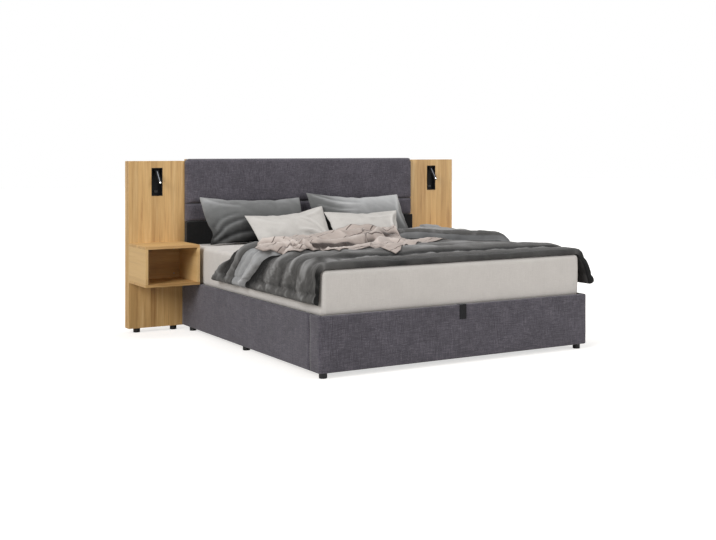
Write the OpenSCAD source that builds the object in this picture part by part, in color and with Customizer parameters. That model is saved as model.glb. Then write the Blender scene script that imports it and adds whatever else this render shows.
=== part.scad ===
// Upholstered storage bed with a slatted platform that lifts at the foot, oak wall
// panels on both sides of the headboard, a nightstand hung on each panel, and a
// folding reading lamp with a USB socket let into each panel.
// Millimetres. X runs across the bed, -Y is the foot end, Z is up, floor at Z = 0.

/* [Mattress] */
// Width of the mattress
mattress_w = 1796; // [1590:1:1996]
// Length of the mattress
mattress_l = 1988; // [1940:1:2090]
// Thickness of the mattress
mattress_h = 259.7; // [200:0.1:280]
// Plan radius of the mattress corners
mattress_corner_r = 60; // [30:1:90]
// Rounding of the mattress top and bottom edges
mattress_edge_r = 26; // [12:1:40]

/* [Bed box] */
// Gap between mattress and side rails
side_gap = 3; // [2:0.5:12]
// Gap between mattress and headboard, and between mattress and foot rail
end_gap = 8.5; // [7:0.5:14]
// Thickness of the rail boards
rail_board_t = 19; // [16:1:25]
// Thickness of the padded cover on the rails
cover_t = 5; // [3:0.5:9]
// Length that the foot rail's cover wraps round the corners
cover_return = 120; // [60:1:200]
// Height of the underside of the box above the floor
box_clearance = 31; // [20:1:60]
// Height of the upholstered box
box_h = 309; // [290:1:360]
// Thickness of the storage floor boards
floor_t = 6; // [4:1:12]
// Depth that the platform surface lies below the top of the box
platform_drop = 15; // [8:1:30]

/* [Feet] */
// Diameter of the round feet
foot_d = 45; // [30:1:60]
// Distance from the box faces to the foot centres
foot_inset = 44; // [32:1:80]

/* [Headboard] */
// Height of the headboard top above the floor
headboard_top = 1171; // [1000:1:1300]
// Width of the headboard
headboard_w = 1816; // [1610:1:2010]
// Distance that the headboard stands out in front of the wall panels
headboard_proud = 46; // [20:1:80]
// Thickness of the headboard cushions
cushion_t = 52; // [30:1:70]
// Thickness of the headboard frame
headboard_frame_t = 48; // [30:1:54]
// Height of the top cushion
top_cushion_h = 307; // [200:1:360]
// Height of the second cushion
middle_cushion_h = 123; // [80:1:200]
// Height of the dark lower panel of the headboard
lower_panel_h = 480; // [300:1:500]
// Joint between two cushions
cushion_joint = 2; // [1:0.5:6]
// Rounding of the cushion edges
cushion_edge_r = 12; // [5:1:20]

/* [Wall panels] */
// Width of one wall panel
panel_w = 390; // [320:1:480]
// Height of the wall panels' top above the floor
panel_top = 1157; // [1000:1:1290]
// Thickness of the wall panels
panel_t = 79; // [56:1:100]
// Thickness of the boards that the panels are made of
panel_board_t = 18; // [12:1:22]
// Thickness of the panels' back boards
panel_back_t = 5; // [3:1:8]
// Joint between wall panel and headboard
panel_joint = 1; // [0.5:0.5:4]
// Distance from the panel's sides to its foot centres
panel_foot_inset = 67; // [40:1:100]

/* [Nightstands] */
// Depth of the nightstands
stand_d = 347; // [250:1:420]
// Height of the nightstands
stand_h = 264; // [180:1:320]
// Height of the nightstands' underside above the floor
stand_z = 341; // [200:1:420]
// Thickness of the nightstand boards
stand_board_t = 18; // [12:1:25]
// Gap between nightstand and bed box
stand_gap = 5; // [3:1:20]
// Thickness of the nightstand back boards
stand_back_t = 8; // [5:1:12]

/* [Reading lamps] */
// Width of the lamp housing
lamp_w = 76; // [60:1:100]
// Height of the lamp housing
lamp_h = 190; // [160:1:240]
// Distance from the panel's top to the lamp housing
lamp_drop = 47; // [30:1:120]
// Depth of the lamp housing
lamp_depth = 30; // [24:1:40]
// Wall of the lamp housing
lamp_wall = 3; // [2:0.5:5]
// Length of the lamp arm from its pin to its tip
arm_l = 120; // [80:1:130]
// Width of the lamp arm
arm_w = 22; // [14:1:32]
// Thickness of the lamp arm
arm_t = 9; // [7:0.5:12]
// Angle of the lamp arm out of the housing
arm_rest_angle = 40; // [10:1:80]
// Diameter of the lamp pin
lamp_pin_d = 4; // [3:0.5:5]
// Running clearance of every pin in its bore, on the radius
pin_clearance = 0.05; // [0.02:0.01:0.1]

/* [Lift mechanism] */
// Length of the lift arms between their pins
lift_arm_l = 260; // [240:1:270]
// Angle of the lift arms above the horizontal
lift_arm_angle = 35; // [32:0.5:38]
// Distance from headboard to the platform's pivot pins
pivot_back = 380; // [360:1:400]
// Depth of the platform's pivot pins below the platform surface
pivot_drop = 63; // [58:1:70]
// Width of the flat links
link_w = 24; // [20:1:26]
// Thickness of the flat links
link_t = 5; // [4:0.5:6]
// Diameter of the lift pins
lift_pin_d = 12; // [8:1:14]
// Diameter of the gas strut's cylinder
strut_d = 18; // [14:1:20]
// Diameter of the gas strut's rod
strut_rod_d = 8; // [6:1:10]
// Thickness of the mechanism's plates
plate_t = 4; // [3:0.5:5]

/* [Platform] */
// Width of the platform frame's tubes
tube_w = 30; // [20:1:40]
// Height of the platform frame's tubes
tube_h = 30; // [25:1:35]
// Thickness of the slats
slat_t = 10; // [8:1:12]
// Width of the slats
slat_w = 62; // [50:1:80]
// Number of slat pairs
slat_count = 14; // [10:1:16]

/* [Bedding] */
// Thickness of the duvet
duvet_t = 32; // [24:1:36]
// Height of the duvet's hem above the floor
hem_z = 393; // [370:1:450]
// Width of the grey pillows
grey_pillow_w = 765; // [600:1:800]
// Height of the grey pillows
grey_pillow_l = 365; // [340:1:390]
// Width of the white pillows
white_pillow_w = 610; // [500:1:640]
// Height of the white pillows
white_pillow_l = 295; // [270:1:305]
// Thickness of the grey pillows
grey_pillow_t = 104; // [70:1:110]
// Thickness of the white pillows
white_pillow_t = 84; // [60:1:90]
// Thickness of the throw
throw_t = 9; // [6:1:12]

/* [Hidden] */
$fn = 48;

// Colours
OAK = [0.78, 0.63, 0.41];
CLOTH = [0.34, 0.32, 0.35];
DARK_CLOTH = [0.16, 0.16, 0.17];
BOARD = [0.72, 0.62, 0.48];
STEEL = [0.30, 0.31, 0.32];
BLACK = [0.06, 0.06, 0.07];
WHITE_CLOTH = [0.88, 0.87, 0.85];
GREY_CLOTH = [0.36, 0.37, 0.37];
TAUPE = [0.74, 0.68, 0.63];

// Plan sizes that follow from the mattress
seat = 0.3;
box_in_w = mattress_w + 2 * side_gap;
rail_t = rail_board_t + cover_t;
box_w = box_in_w + 2 * rail_t;
box_in_l = mattress_l + 2 * end_gap;
box_l = box_in_l + rail_t;
strap_t = 2;
strap_gap = 2;
depth = headboard_proud + box_l + panel_t + strap_gap + strap_t;
panel_front = depth / 2 - panel_t;
headboard_front = panel_front - headboard_proud;
foot_in = headboard_front - box_in_l;
foot_out = foot_in - rail_t;
box_top = box_clearance + box_h;
rail_in = box_in_w / 2;
rail_out = box_w / 2;
board_out = rail_out - cover_t;
platform_z = box_top - platform_drop;

// Thickness of the box cover where it is turned in over the boards
cover_turn = 4;
batten_h = 16;
floor_top = box_clearance + batten_h + floor_t;

// Panels and nightstands
panel_in = headboard_w / 2 + panel_joint;
panel_out = panel_in + panel_w;
panel_mid = (panel_in + panel_out) / 2;
foot_h = box_clearance;
stand_in = max(rail_out, headboard_w / 2) + stand_gap;
stand_top = stand_z + stand_h;
stand_front = panel_front - stand_d;

// Lamps
lamp_top = panel_top - lamp_drop;
lamp_pin_z = lamp_top - 17;
lamp_pin_y = panel_front + 7;
lamp_flange = 2;
lamp_lip = 1.5;

// Lift mechanism in the YZ plane, for the side at +X
plate_in = rail_in - plate_t;
strut_x = plate_in - 2 - strut_d / 2 - 2;
link_x = strut_x - strut_d / 2 - 4 - link_t;
bracket_x = link_x - 2 - link_t;
tube_out = bracket_x;
pivot_y = headboard_front - pivot_back;
pivot_z = platform_z - pivot_drop;
arm_pin_y = pivot_y - lift_arm_l * cos(lift_arm_angle);
arm_pin_z = pivot_z - lift_arm_l * sin(lift_arm_angle);
idler_l = 259;
idler_angle = 29.75;
idler_top_y = pivot_y - 60;
idler_top_z = pivot_z;
idler_pin_y = idler_top_y - idler_l * cos(idler_angle);
idler_pin_z = idler_top_z - idler_l * sin(idler_angle);
strut_base_y = pivot_y - 3;
strut_base_z = floor_top + 23.6;
strut_top_y = pivot_y + 117.6;
strut_top_z = pivot_z + 15.4;
strut_l = norm([strut_top_y - strut_base_y, strut_top_z - strut_base_z]);
strut_angle = atan2(strut_top_z - strut_base_z, strut_top_y - strut_base_y);
cylinder_l = 0.6 * strut_l;

// Platform
tube_top = platform_z - slat_t;
tube_bottom = tube_top - tube_h;
frame_foot = foot_in + 25;
frame_head = headboard_front - 10;
holder_l = 46;

// Bedding
mattress_z = platform_z + seat;
mattress_top = mattress_z + mattress_h;
mattress_foot = foot_in + end_gap;
mattress_head = headboard_front - end_gap;
mattress_side = mattress_w / 2;

// ---------- helpers ----------

// Solid from matching rings of points, closed by a fan at each end
module skin(rings) {
    n = len(rings[0]);
    m = len(rings);
    pts = [for (r = rings) for (p = r) p];
    ends = [for (k = [0, m - 1]) [for (a = [0:2]) mean([for (p = rings[k]) p[a]])]];
    sides = [for (j = [0:m - 2]) for (i = [0:n - 1]) let (a = j * n + i, b = j * n + (i + 1) % n)
        each [[a, a + n, b], [b, a + n, b + n]]];
    last = (m - 1) * n;
    caps = [for (i = [0:n - 1]) let (b = (i + 1) % n) each [[i, b, m * n], [last + b, last + i, m * n + 1]]];
    polyhedron(points = concat(pts, ends), faces = concat(sides, caps));
}

function mean(v) = sum(v) / len(v);
function sum(v, i = 0) = i >= len(v) ? 0 : v[i] + sum(v, i + 1);
function ease(t) = t <= 0 ? 0 : t >= 1 ? 1 : t * t * (3 - 2 * t);
function sgnpow(v, e) = sign(v) * pow(abs(v), e);

// Closed sheet of thickness t between two matching grids of points
module shell_between(top, bottom) {
    m = len(top);
    n = len(top[0]);
    pts = concat([for (r = top) for (p = r) p], [for (r = bottom) for (p = r) p]);
    low = m * n;
    up = [for (j = [0:m - 2]) for (i = [0:n - 2]) let (a = j * n + i)
        each [[a, a + n, a + 1], [a + 1, a + n, a + n + 1]]];
    down = [for (f = up) [f[0] + low, f[2] + low, f[1] + low]];
    rim = concat([for (i = [0:n - 2]) i + 1], [for (j = [1:m - 1]) j * n + n - 1],
        [for (i = [n - 2:-1:0]) (m - 1) * n + i], [for (j = [m - 2:-1:0]) j * n]);
    walls = [for (k = [0:len(rim) - 1]) let (a = rim[k], b = rim[(k + 1) % len(rim)])
        each [[a, b, a + low], [b, b + low, a + low]]];
    polyhedron(points = pts, faces = concat(up, down, walls));
}

// Box with rounded plan corners and rounded top and bottom edges, centred on X and Y
module soft_block(w, l, h, r, e) {
    steps = 6;
    levels = concat([for (k = [0:4]) let (a = 90 * k / 4) [e * (1 - sin(a)), e * (1 - cos(a))]],
        [for (k = [4:-1:0]) let (a = 90 * k / 4) [e * (1 - sin(a)), h - e * (1 - cos(a))]]);
    skin([for (v = levels) [for (q = [0:3]) for (s = [0:steps]) let (a = 90 * q + 90 * s / steps,
        rr = r - min(v[0], r - 4), cx = (w / 2 - r) * (q == 0 || q == 3 ? 1 : -1),
        cy = (l / 2 - r) * (q < 2 ? 1 : -1), extra = v[0] - (r - rr))
        [cx + (rr - extra) * cos(a), cy + (rr - extra) * sin(a), v[1]]]]);
}

// Points of a flat pillow's upper (s = 1) or lower (s = -1) face: crowned, with its sides
// drawn in between four pointed corners
pillow_n = 13;
pillow_rim = 1.5;
function pillow_grid(w, l, t, s) = [for (j = [0:pillow_n]) [for (i = [0:pillow_n])
    let (u = -1 + 2 * i / pillow_n, v = -1 + 2 * j / pillow_n)
    [w / 2 * u * (1 - 0.045 * (1 - v * v)), l / 2 * (1 + v * (1 - 0.06 * (1 - u * u))),
    s * (pillow_rim + t / 2 * pow((1 - pow(abs(u), 2.6)) * (1 - pow(abs(v), 2.4)), 0.55))]]];

// Pillow leaning back on the mattress: x of its middle, distance of its lower edge from the
// headboard, its lean, its roll (one side higher) and its turn
module bed_pillow(x, gap, lean, roll, turn, w, l, t) {
    low = min([for (s = [-1, 1], row = pillow_grid(w, l, t, s), p = row)
        cos(roll) * (p[1] * sin(lean) + p[2] * cos(lean)) - sin(roll) * p[0]]);
    translate([x, headboard_front - gap, mattress_top + seat + 0.1 - low]) rotate([lean, roll, turn])
        shell_between(pillow_grid(w, l, t, 1), pillow_grid(w, l, t, -1));
}

// Flat link between two eyes in the YZ plane, t thick along X
module link(p, q, w, t, bore_p, bore_q) {
    rotate([90, 0, 90]) difference() {
        linear_extrude(t) union() {
            for (c = [p, q]) translate(c) circle(d = w + 2);
            polygon(bar_outline(p, q, w));
        }
        if (bore_p > 0) translate([p[0], p[1], -1]) cylinder(d = bore_p, h = t + 2);
        if (bore_q > 0) translate([q[0], q[1], -1]) cylinder(d = bore_q, h = t + 2);
    }
}

function bar_outline(p, q, w) = let (d = (q - p) / norm(q - p), s = [-d[1], d[0]] * w / 2)
    [p + s, p - s, q - s, q + s];

module pin_x(x0, x1, y, z, d) {
    translate([x0, y, z]) rotate([0, 90, 0]) cylinder(d = d, h = x1 - x0);
}

module box_at(lo, hi) {
    translate(lo) cube(hi - lo);
}

module both_sides() {
    children();
    mirror([1, 0, 0]) children();
}

// ---------- bed box ----------

module side_rail_board() {
    color(BOARD) difference() {
        box_at([rail_in, foot_in, box_clearance + cover_turn],
            [board_out, headboard_front, box_top - cover_turn]);
        for (p = base_bolts()) pin_x(rail_in - 1, rail_in + bolt_l + 1, p[0], p[1], bolt_d);
    }
}

module right_side_rail() side_rail_board();
module left_side_rail() mirror([1, 0, 0]) side_rail_board();

module foot_rail() {
    color(BOARD) box_at([-board_out, foot_out + cover_t, box_clearance + cover_turn],
        [board_out, foot_in, box_top - cover_turn]);
}

head_rail_t = 19;
head_rail_h = 150;
module head_rail() {
    color(BOARD) box_at([-rail_in, headboard_front - head_rail_t - seat, floor_top],
        [rail_in, headboard_front - seat, floor_top + head_rail_h]);
}

// Padded cover of a side rail: outer face, turned in over the top and under the bottom. Its end
// goes on past the headboard's side to the wall panel, where the box is the wider of the two.
module side_cover() {
    cover_end = board_out > headboard_w / 2 ? panel_front : headboard_front;
    color(CLOTH) difference() {
        box_at([rail_in, foot_out + cover_return, box_clearance], [rail_out, cover_end, box_top]);
        box_at([rail_in - 1, foot_out, box_clearance + cover_turn],
            [board_out, panel_front + 1, box_top - cover_turn]);
        box_at([rail_in - 1, headboard_front, box_clearance - 1], [board_out, panel_front + 1, box_top + 1]);
    }
}

module right_rail_cover() side_cover();
module left_rail_cover() mirror([1, 0, 0]) side_cover();

// The foot rail's cover goes round both corners onto the side rails
module foot_rail_cover() {
    y1 = foot_out + cover_return;
    color(CLOTH) difference() {
        box_at([-rail_out, foot_out, box_clearance], [rail_out, y1, box_top]);
        box_at([-board_out, foot_out + cover_t, box_clearance + cover_turn],
            [board_out, y1 + 1, box_top - cover_turn]);
        box_at([-rail_in, foot_in, box_clearance - 1], [rail_in, y1 + 1, box_top + 1]);
    }
}

module storage_floor() {
    color(WHITE_CLOTH) both_sides()
        box_at([1, foot_in + 1, floor_top - floor_t], [rail_in - 1, headboard_front - 1, floor_top]);
}

beam_w = 60;
side_batten_w = 70;
// Battens under the storage floor: one in the middle and one along each side rail
module floor_battens() {
    color(BOARD) {
        floor_batten(-beam_w / 2, beam_w / 2);
        both_sides() floor_batten(rail_in - side_batten_w, rail_in);
    }
}

module floor_batten(x0, x1) {
    box_at([x0, foot_in, box_clearance], [x1, headboard_front, box_clearance + batten_h]);
}

bracket_leg = 60;
bracket_t = 3;
bolt_d = 8;
foot_bracket_h = 199;
head_bracket_y = headboard_front - head_rail_t - 2 * seat;
// Angle pieces in the four inner corners of the box
module corner_brackets() {
    color(STEEL) both_sides() {
        translate([rail_in, foot_in, floor_top]) corner_angle(foot_bracket_h);
        translate([rail_in, head_bracket_y, floor_top]) mirror([0, 1, 0]) corner_angle(head_rail_h);
    }
}

module corner_angle(h) {
    box_at([-bracket_leg, 0, 0], [0, bracket_t, h]);
    box_at([-bracket_t, 0, 0], [0, bracket_leg, h]);
}

// Lift base plate: reach from the arm's pin to each end, lower and upper edge, bolts in from these
plate_foot_reach = 175;
plate_head_reach = 315;
plate_low = 8;
plate_high = 112;
plate_bolt_in = 25;
plate_bolt_up = 24;
plate_bolt_down = 20;
// Bolt places of the lift base plate, as [y, z]
function base_bolts() = [for (dy = [plate_bolt_in - plate_foot_reach, plate_head_reach - plate_bolt_in])
    for (z = [plate_low + plate_bolt_up, plate_high - plate_bolt_down]) [arm_pin_y + dy, floor_top + z]];

bolt_gap = 0.2;
bolt_l = 12;
base_head_t = 2;
corner_head_t = 5;
module frame_bolts() {
    color(STEEL) both_sides() {
        for (p = base_bolts()) {
            pin_x(plate_in, rail_in + bolt_l, p[0], p[1], bolt_d - 2 * bolt_gap);
            pin_x(plate_in - base_head_t, plate_in, p[0], p[1], 2 * bolt_d);
        }
        for (z = [floor_top + 35, floor_top + 115], y = [foot_in + 40, head_bracket_y - 40])
            pin_x(rail_in - bracket_t - corner_head_t, rail_in - bracket_t, y, z, bolt_d + 5);
    }
}

// Rubber buffers on the foot rail's cleat that carry the lowered platform
rest_d = 26;
rest_h = 12;
cleat_t = 22;
module platform_rests() {
    color(BLACK) both_sides() {
        translate([rail_in / 2, foot_in + 37, tube_bottom - rest_h - seat]) cylinder(d = rest_d, h = rest_h);
        box_at([rail_in / 2 - 40, foot_in, tube_bottom - rest_h - seat - cleat_t],
            [rail_in / 2 + 40, foot_in + 54, tube_bottom - rest_h - seat]);
    }
}

module bed_feet() {
    color(BLACK) {
        both_sides() for (y = [foot_out + foot_inset, 0, headboard_front - foot_inset])
            translate([rail_out - foot_inset, y, 0]) cylinder(d = foot_d, h = foot_h);
        for (y = [-box_in_l / 4, box_in_l / 4]) translate([0, y, 0]) cylinder(d = foot_d, h = foot_h);
    }
}

// ---------- headboard ----------

headboard_back = headboard_front + cushion_t + headboard_frame_t;
headboard_frame_inset = 18; // room for the wadding on its sides
module headboard_frame() {
    bays = 4;
    stile = 60;
    front_board_t = 10;
    w = (headboard_w - stile) / bays;
    color(BOARD) difference() {
        box_at([-headboard_w / 2 + headboard_frame_inset, headboard_front + cushion_t, foot_h],
            [headboard_w / 2 - headboard_frame_inset, headboard_back, headboard_top - 2]);
        for (i = [0:bays - 1])
            box_at([-headboard_w / 2 + stile + i * w, headboard_front + cushion_t + front_board_t, foot_h + stile],
                [-headboard_w / 2 + (i + 1) * w, headboard_back + 1, headboard_top - stile]);
    }
}

// Cushion with a crowned front, soft edges and drawn-in top and bottom
module headboard_cushion(z0, z1) {
    h = z1 - z0;
    translate([0, headboard_front + cushion_t, (z0 + z1) / 2]) rotate([90, 0, 0])
        soft_block(headboard_w, h, cushion_t, cushion_edge_r + 4, cushion_edge_r);
}

top_cushion_z = headboard_top - top_cushion_h;
middle_cushion_z = top_cushion_z - middle_cushion_h;
module headboard_cushion_top() {
    color(CLOTH) headboard_cushion(top_cushion_z + cushion_joint / 2, headboard_top);
}

module headboard_cushion_middle() {
    color(CLOTH) headboard_cushion(middle_cushion_z + cushion_joint / 2, top_cushion_z - cushion_joint / 2);
}

// Dark panel under the cushions, cut free of the headboard's brackets if it reaches down to them
module headboard_lower_panel() {
    z1 = middle_cushion_z - cushion_joint / 2;
    color(DARK_CLOTH) difference() {
        box_at([-headboard_w / 2, headboard_front, z1 - lower_panel_h],
            [headboard_w / 2, headboard_front + cushion_t, z1]);
        both_sides() box_at([headboard_bracket_x - bracket_leg - headboard_bracket_gap, headboard_front - 1,
            headboard_bracket_z - headboard_bracket_gap],
            [headboard_w / 2 + 1, headboard_front + cushion_t + 1,
            headboard_bracket_z + headboard_bracket_h + headboard_bracket_gap]);
    }
}

headboard_bracket_h = 48;
headboard_bracket_inset = 7;
headboard_bracket_gap = 3;
headboard_bracket_x = min(rail_in, headboard_w / 2 - headboard_bracket_inset);
headboard_bracket_z = floor_top + head_rail_h + headboard_bracket_gap;
// Angles on the side rails' inner faces, above the head rail, bolted to the headboard's frame
module headboard_brackets() {
    x = headboard_bracket_x;
    y = headboard_front + cushion_t;
    z = headboard_bracket_z;
    color(STEEL) both_sides() {
        box_at([x - bracket_t, headboard_front - bracket_leg, z],
            [rail_in, headboard_front - bracket_leg + bracket_t, z + headboard_bracket_h]);
        box_at([x - bracket_t, headboard_front - bracket_leg, z], [x, y, z + headboard_bracket_h]);
        box_at([x - bracket_leg, y - bracket_t, z], [x, y, z + headboard_bracket_h]);
    }
}

// ---------- wall panels ----------

// Hollow panel: front, sides, top and bottom in one oak shell, open at the back
module wall_panel() {
    color(OAK) difference() {
        box_at([panel_in, panel_front, foot_h], [panel_out, panel_front + panel_t, panel_top]);
        box_at([panel_in + panel_board_t, panel_front + panel_board_t, foot_h + panel_board_t],
            [panel_out - panel_board_t, panel_front + panel_t + 1, panel_top - panel_board_t]);
        box_at([panel_mid - lamp_w / 2 + lamp_flange, panel_front - 1, lamp_top - lamp_h + lamp_flange],
            [panel_mid + lamp_w / 2 - lamp_flange, panel_front + panel_board_t + 1, lamp_top - lamp_flange]);
        screw_holes();
    }
}

module right_wall_panel() wall_panel();
module left_wall_panel() mirror([1, 0, 0]) wall_panel();

module panel_back() {
    color(BOARD) box_at([panel_in + panel_board_t, panel_front + panel_t - panel_back_t, foot_h + panel_board_t],
        [panel_out - panel_board_t, panel_front + panel_t, panel_top - panel_board_t]);
}

module right_panel_back() panel_back();
module left_panel_back() mirror([1, 0, 0]) panel_back();

module panel_feet() {
    color(BLACK) both_sides() for (x = [panel_in + panel_foot_inset, panel_out - panel_foot_inset])
        translate([x, panel_front + panel_t / 2, 0]) cylinder(d = foot_d, h = foot_h);
}

panel_bracket_h = 40;
panel_bracket_low = 200;
panel_bracket_high = 260;
// Angles between the back of the headboard's frame and the wall panels' inner sides
module panel_brackets() {
    leg = panel_front + panel_t - headboard_back - 1;
    color(STEEL) both_sides() for (z = [foot_h + panel_bracket_low, panel_top - panel_bracket_high]) {
        box_at([panel_in - bracket_leg, headboard_back, z],
            [panel_in, headboard_back + bracket_t, z + panel_bracket_h]);
        box_at([panel_in - bracket_t, headboard_back, z], [panel_in, headboard_back + leg, z + panel_bracket_h]);
    }
}

// ---------- nightstands ----------

module stand_board(lo, hi) {
    color(OAK) box_at(lo, hi);
}

module stand_top_board() {
    stand_board([stand_in, stand_front, stand_top - stand_board_t], [panel_out, panel_front, stand_top]);
}

module stand_base_board() {
    stand_board([stand_in, stand_front, stand_z], [panel_out, panel_front, stand_z + stand_board_t]);
}

module stand_outer_side() {
    stand_board([panel_out - stand_board_t, stand_front, stand_z + stand_board_t],
        [panel_out, panel_front, stand_top - stand_board_t]);
}

module stand_inner_side() {
    stand_board([stand_in, stand_front, stand_z + stand_board_t],
        [stand_in + stand_board_t, panel_front, stand_top - stand_board_t]);
}

module stand_back() {
    color(OAK) difference() {
        box_at([stand_in + stand_board_t, panel_front - stand_back_t, stand_z + stand_board_t],
            [panel_out - stand_board_t, panel_front, stand_top - stand_board_t]);
        screw_holes();
    }
}

module right_nightstand_top() stand_top_board();
module right_nightstand_base() stand_base_board();
module right_nightstand_outer_side() stand_outer_side();
module right_nightstand_inner_side() stand_inner_side();
module right_nightstand_back() stand_back();
module left_nightstand_top() mirror([1, 0, 0]) stand_top_board();
module left_nightstand_base() mirror([1, 0, 0]) stand_base_board();
module left_nightstand_outer_side() mirror([1, 0, 0]) stand_outer_side();
module left_nightstand_inner_side() mirror([1, 0, 0]) stand_inner_side();
module left_nightstand_back() mirror([1, 0, 0]) stand_back();

screw_d = 5;
screw_head_d = 10;
screw_head_t = 3;
screw_inset = 40;
// Places of the screws through a nightstand's back board, as [x, z]
function stand_screws() = [for (x = [stand_in + stand_board_t + screw_inset,
    panel_out - stand_board_t - screw_inset], z = [stand_z + 48, stand_top - 48]) [x, z]];

module screw_holes() {
    for (p = stand_screws()) translate([p[0], panel_front + screw_bite + 1, p[1]]) rotate([90, 0, 0])
        cylinder(d = screw_d + 2 * bolt_gap, h = screw_bite + stand_back_t + 2);
}

screw_bite = 13;
// Screws that hold the nightstands' back boards to the wall panels
module nightstand_screws() {
    color(STEEL) both_sides() for (p = stand_screws()) translate([p[0], panel_front + screw_bite, p[1]])
        rotate([90, 0, 0]) {
            cylinder(d = screw_d, h = screw_bite + stand_back_t + 1);
            translate([0, 0, screw_bite + stand_back_t]) cylinder(d = screw_head_d, h = screw_head_t);
        }
}

// ---------- reading lamps ----------

lamp_bottom = lamp_top - lamp_h;
pocket_front = panel_front - lamp_lip;
pocket_back = panel_front + lamp_depth - lamp_wall;
pin_lug_w = 5;
module lamp_housing() {
    x0 = panel_mid - lamp_w / 2;
    x1 = panel_mid + lamp_w / 2;
    color(BLACK) difference() {
        union() {
            box_at([x0, pocket_front, lamp_bottom], [x1, panel_front, lamp_top]);
            box_at([x0 + lamp_flange + seat, panel_front, lamp_bottom + lamp_flange + seat],
                [x1 - lamp_flange - seat, panel_front + lamp_depth, lamp_top - lamp_flange - seat]);
        }
        box_at([x0 + lamp_flange + lamp_wall, pocket_front - 1, lamp_bottom + lamp_flange + lamp_wall],
            [x1 - lamp_flange - lamp_wall, pocket_back, lamp_top - lamp_flange - lamp_wall]);
    }
    // Two lugs on the pocket's back wall carry the arm's pin
    color(BLACK) for (s = [-1, 1]) {
        lug = panel_mid + s * (arm_w / 2 + 0.4 + pin_lug_w / 2);
        box_at([lug - pin_lug_w / 2, lamp_pin_y - 4, lamp_pin_z - 5],
            [lug + pin_lug_w / 2, pocket_back, lamp_pin_z + 5]);
    }
    color(BLACK) pin_x(panel_mid - arm_w / 2 - 0.4 - pin_lug_w, panel_mid + arm_w / 2 + 0.4 + pin_lug_w,
        lamp_pin_y, lamp_pin_z, lamp_pin_d);
}

module right_lamp_housing() lamp_housing();
module left_lamp_housing() mirror([1, 0, 0]) lamp_housing();

usb_w = 22;
usb_h = 14;
module usb_socket() {
    z = lamp_bottom + 22;
    color([0.2, 0.2, 0.21]) difference() {
        box_at([panel_mid - usb_w / 2, pocket_back - 6, z], [panel_mid + usb_w / 2, pocket_back, z + usb_h]);
        box_at([panel_mid - 6.5, pocket_back - 7, z + usb_h / 2 - 2.6],
            [panel_mid + 6.5, pocket_back - 1.5, z + usb_h / 2 + 2.6]);
    }
}

module right_usb_socket() usb_socket();
module left_usb_socket() mirror([1, 0, 0]) usb_socket();

// Places a child drawn hanging straight down from the lamp pin at the arm's rest angle
module at_lamp_pin() {
    translate([panel_mid, lamp_pin_y, lamp_pin_z]) rotate([-arm_rest_angle, 0, 0]) children();
}

lens_d = 14;
lens_t = 2;
module lamp_arm() {
    tip = arm_l - arm_w / 2;
    color(BLACK) at_lamp_pin() difference() {
        union() {
            translate([-arm_w / 2, -arm_t / 2, -tip]) cube([arm_w, arm_t, tip]);
            translate([0, arm_t / 2, -tip]) rotate([90, 0, 0]) cylinder(d = arm_w, h = arm_t);
            translate([-arm_w / 2, 0, 0]) rotate([0, 90, 0]) cylinder(d = arm_t, h = arm_w);
        }
        translate([-arm_w, 0, 0]) rotate([0, 90, 0]) cylinder(d = lamp_pin_d + 2 * pin_clearance, h = 2 * arm_w);
        translate([0, arm_t / 2 + 1, -tip]) rotate([90, 0, 0]) cylinder(d = lens_d, h = lens_t + 1);
    }
}

module lamp_lens() {
    tip = arm_l - arm_w / 2;
    color([1, 1, 0.92]) at_lamp_pin() translate([0, arm_t / 2, -tip]) rotate([90, 0, 0])
        cylinder(d = lens_d, h = lens_t);
}

module right_lamp_arm() lamp_arm();
module left_lamp_arm() mirror([1, 0, 0]) lamp_arm();
module right_lamp_lens() lamp_lens();
module left_lamp_lens() mirror([1, 0, 0]) lamp_lens();

// ---------- lift mechanism ----------

module lift_base_plates() {
    color(STEEL) both_sides() {
        difference() {
            box_at([plate_in, arm_pin_y - plate_foot_reach, floor_top + plate_low],
                [rail_in, arm_pin_y + plate_head_reach, floor_top + plate_high]);
            for (p = base_bolts()) pin_x(plate_in - 1, rail_in + 1, p[0], p[1], bolt_d);
        }
        pin_x(link_x - 1.2, plate_in, arm_pin_y, arm_pin_z, lift_pin_d);
        pin_x(link_x + link_t + 0.5, plate_in, arm_pin_y, arm_pin_z, lift_pin_d + 8);
        pin_x(link_x - 1.2, plate_in, idler_pin_y, idler_pin_z, lift_pin_d);
        pin_x(link_x + link_t + 0.5, plate_in, idler_pin_y, idler_pin_z, lift_pin_d + 8);
        pin_x(strut_x - 6, plate_in, strut_base_y, strut_base_z, lift_pin_d - 2);
    }
}

module lift_arms() {
    bore = lift_pin_d + 2 * pin_clearance;
    color(STEEL) both_sides() translate([link_x, 0, 0])
        link([arm_pin_y, arm_pin_z], [pivot_y, pivot_z], link_w, link_t, bore, bore);
}

module idler_links() {
    bore = lift_pin_d + 2 * pin_clearance;
    color(STEEL) both_sides() {
        translate([link_x, 0, 0])
            link([idler_pin_y, idler_pin_z], [idler_top_y, idler_top_z], link_w, link_t, bore, 0);
        pin_x(link_x + link_t, link_x + link_t + 3, idler_top_y, idler_top_z, lift_pin_d + 4);
    }
}

// Places a child drawn along +Z from the strut's base pin
module along_strut() {
    translate([strut_x, strut_base_y, strut_base_z]) rotate([strut_angle - 90, 0, 0]) children();
}

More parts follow.
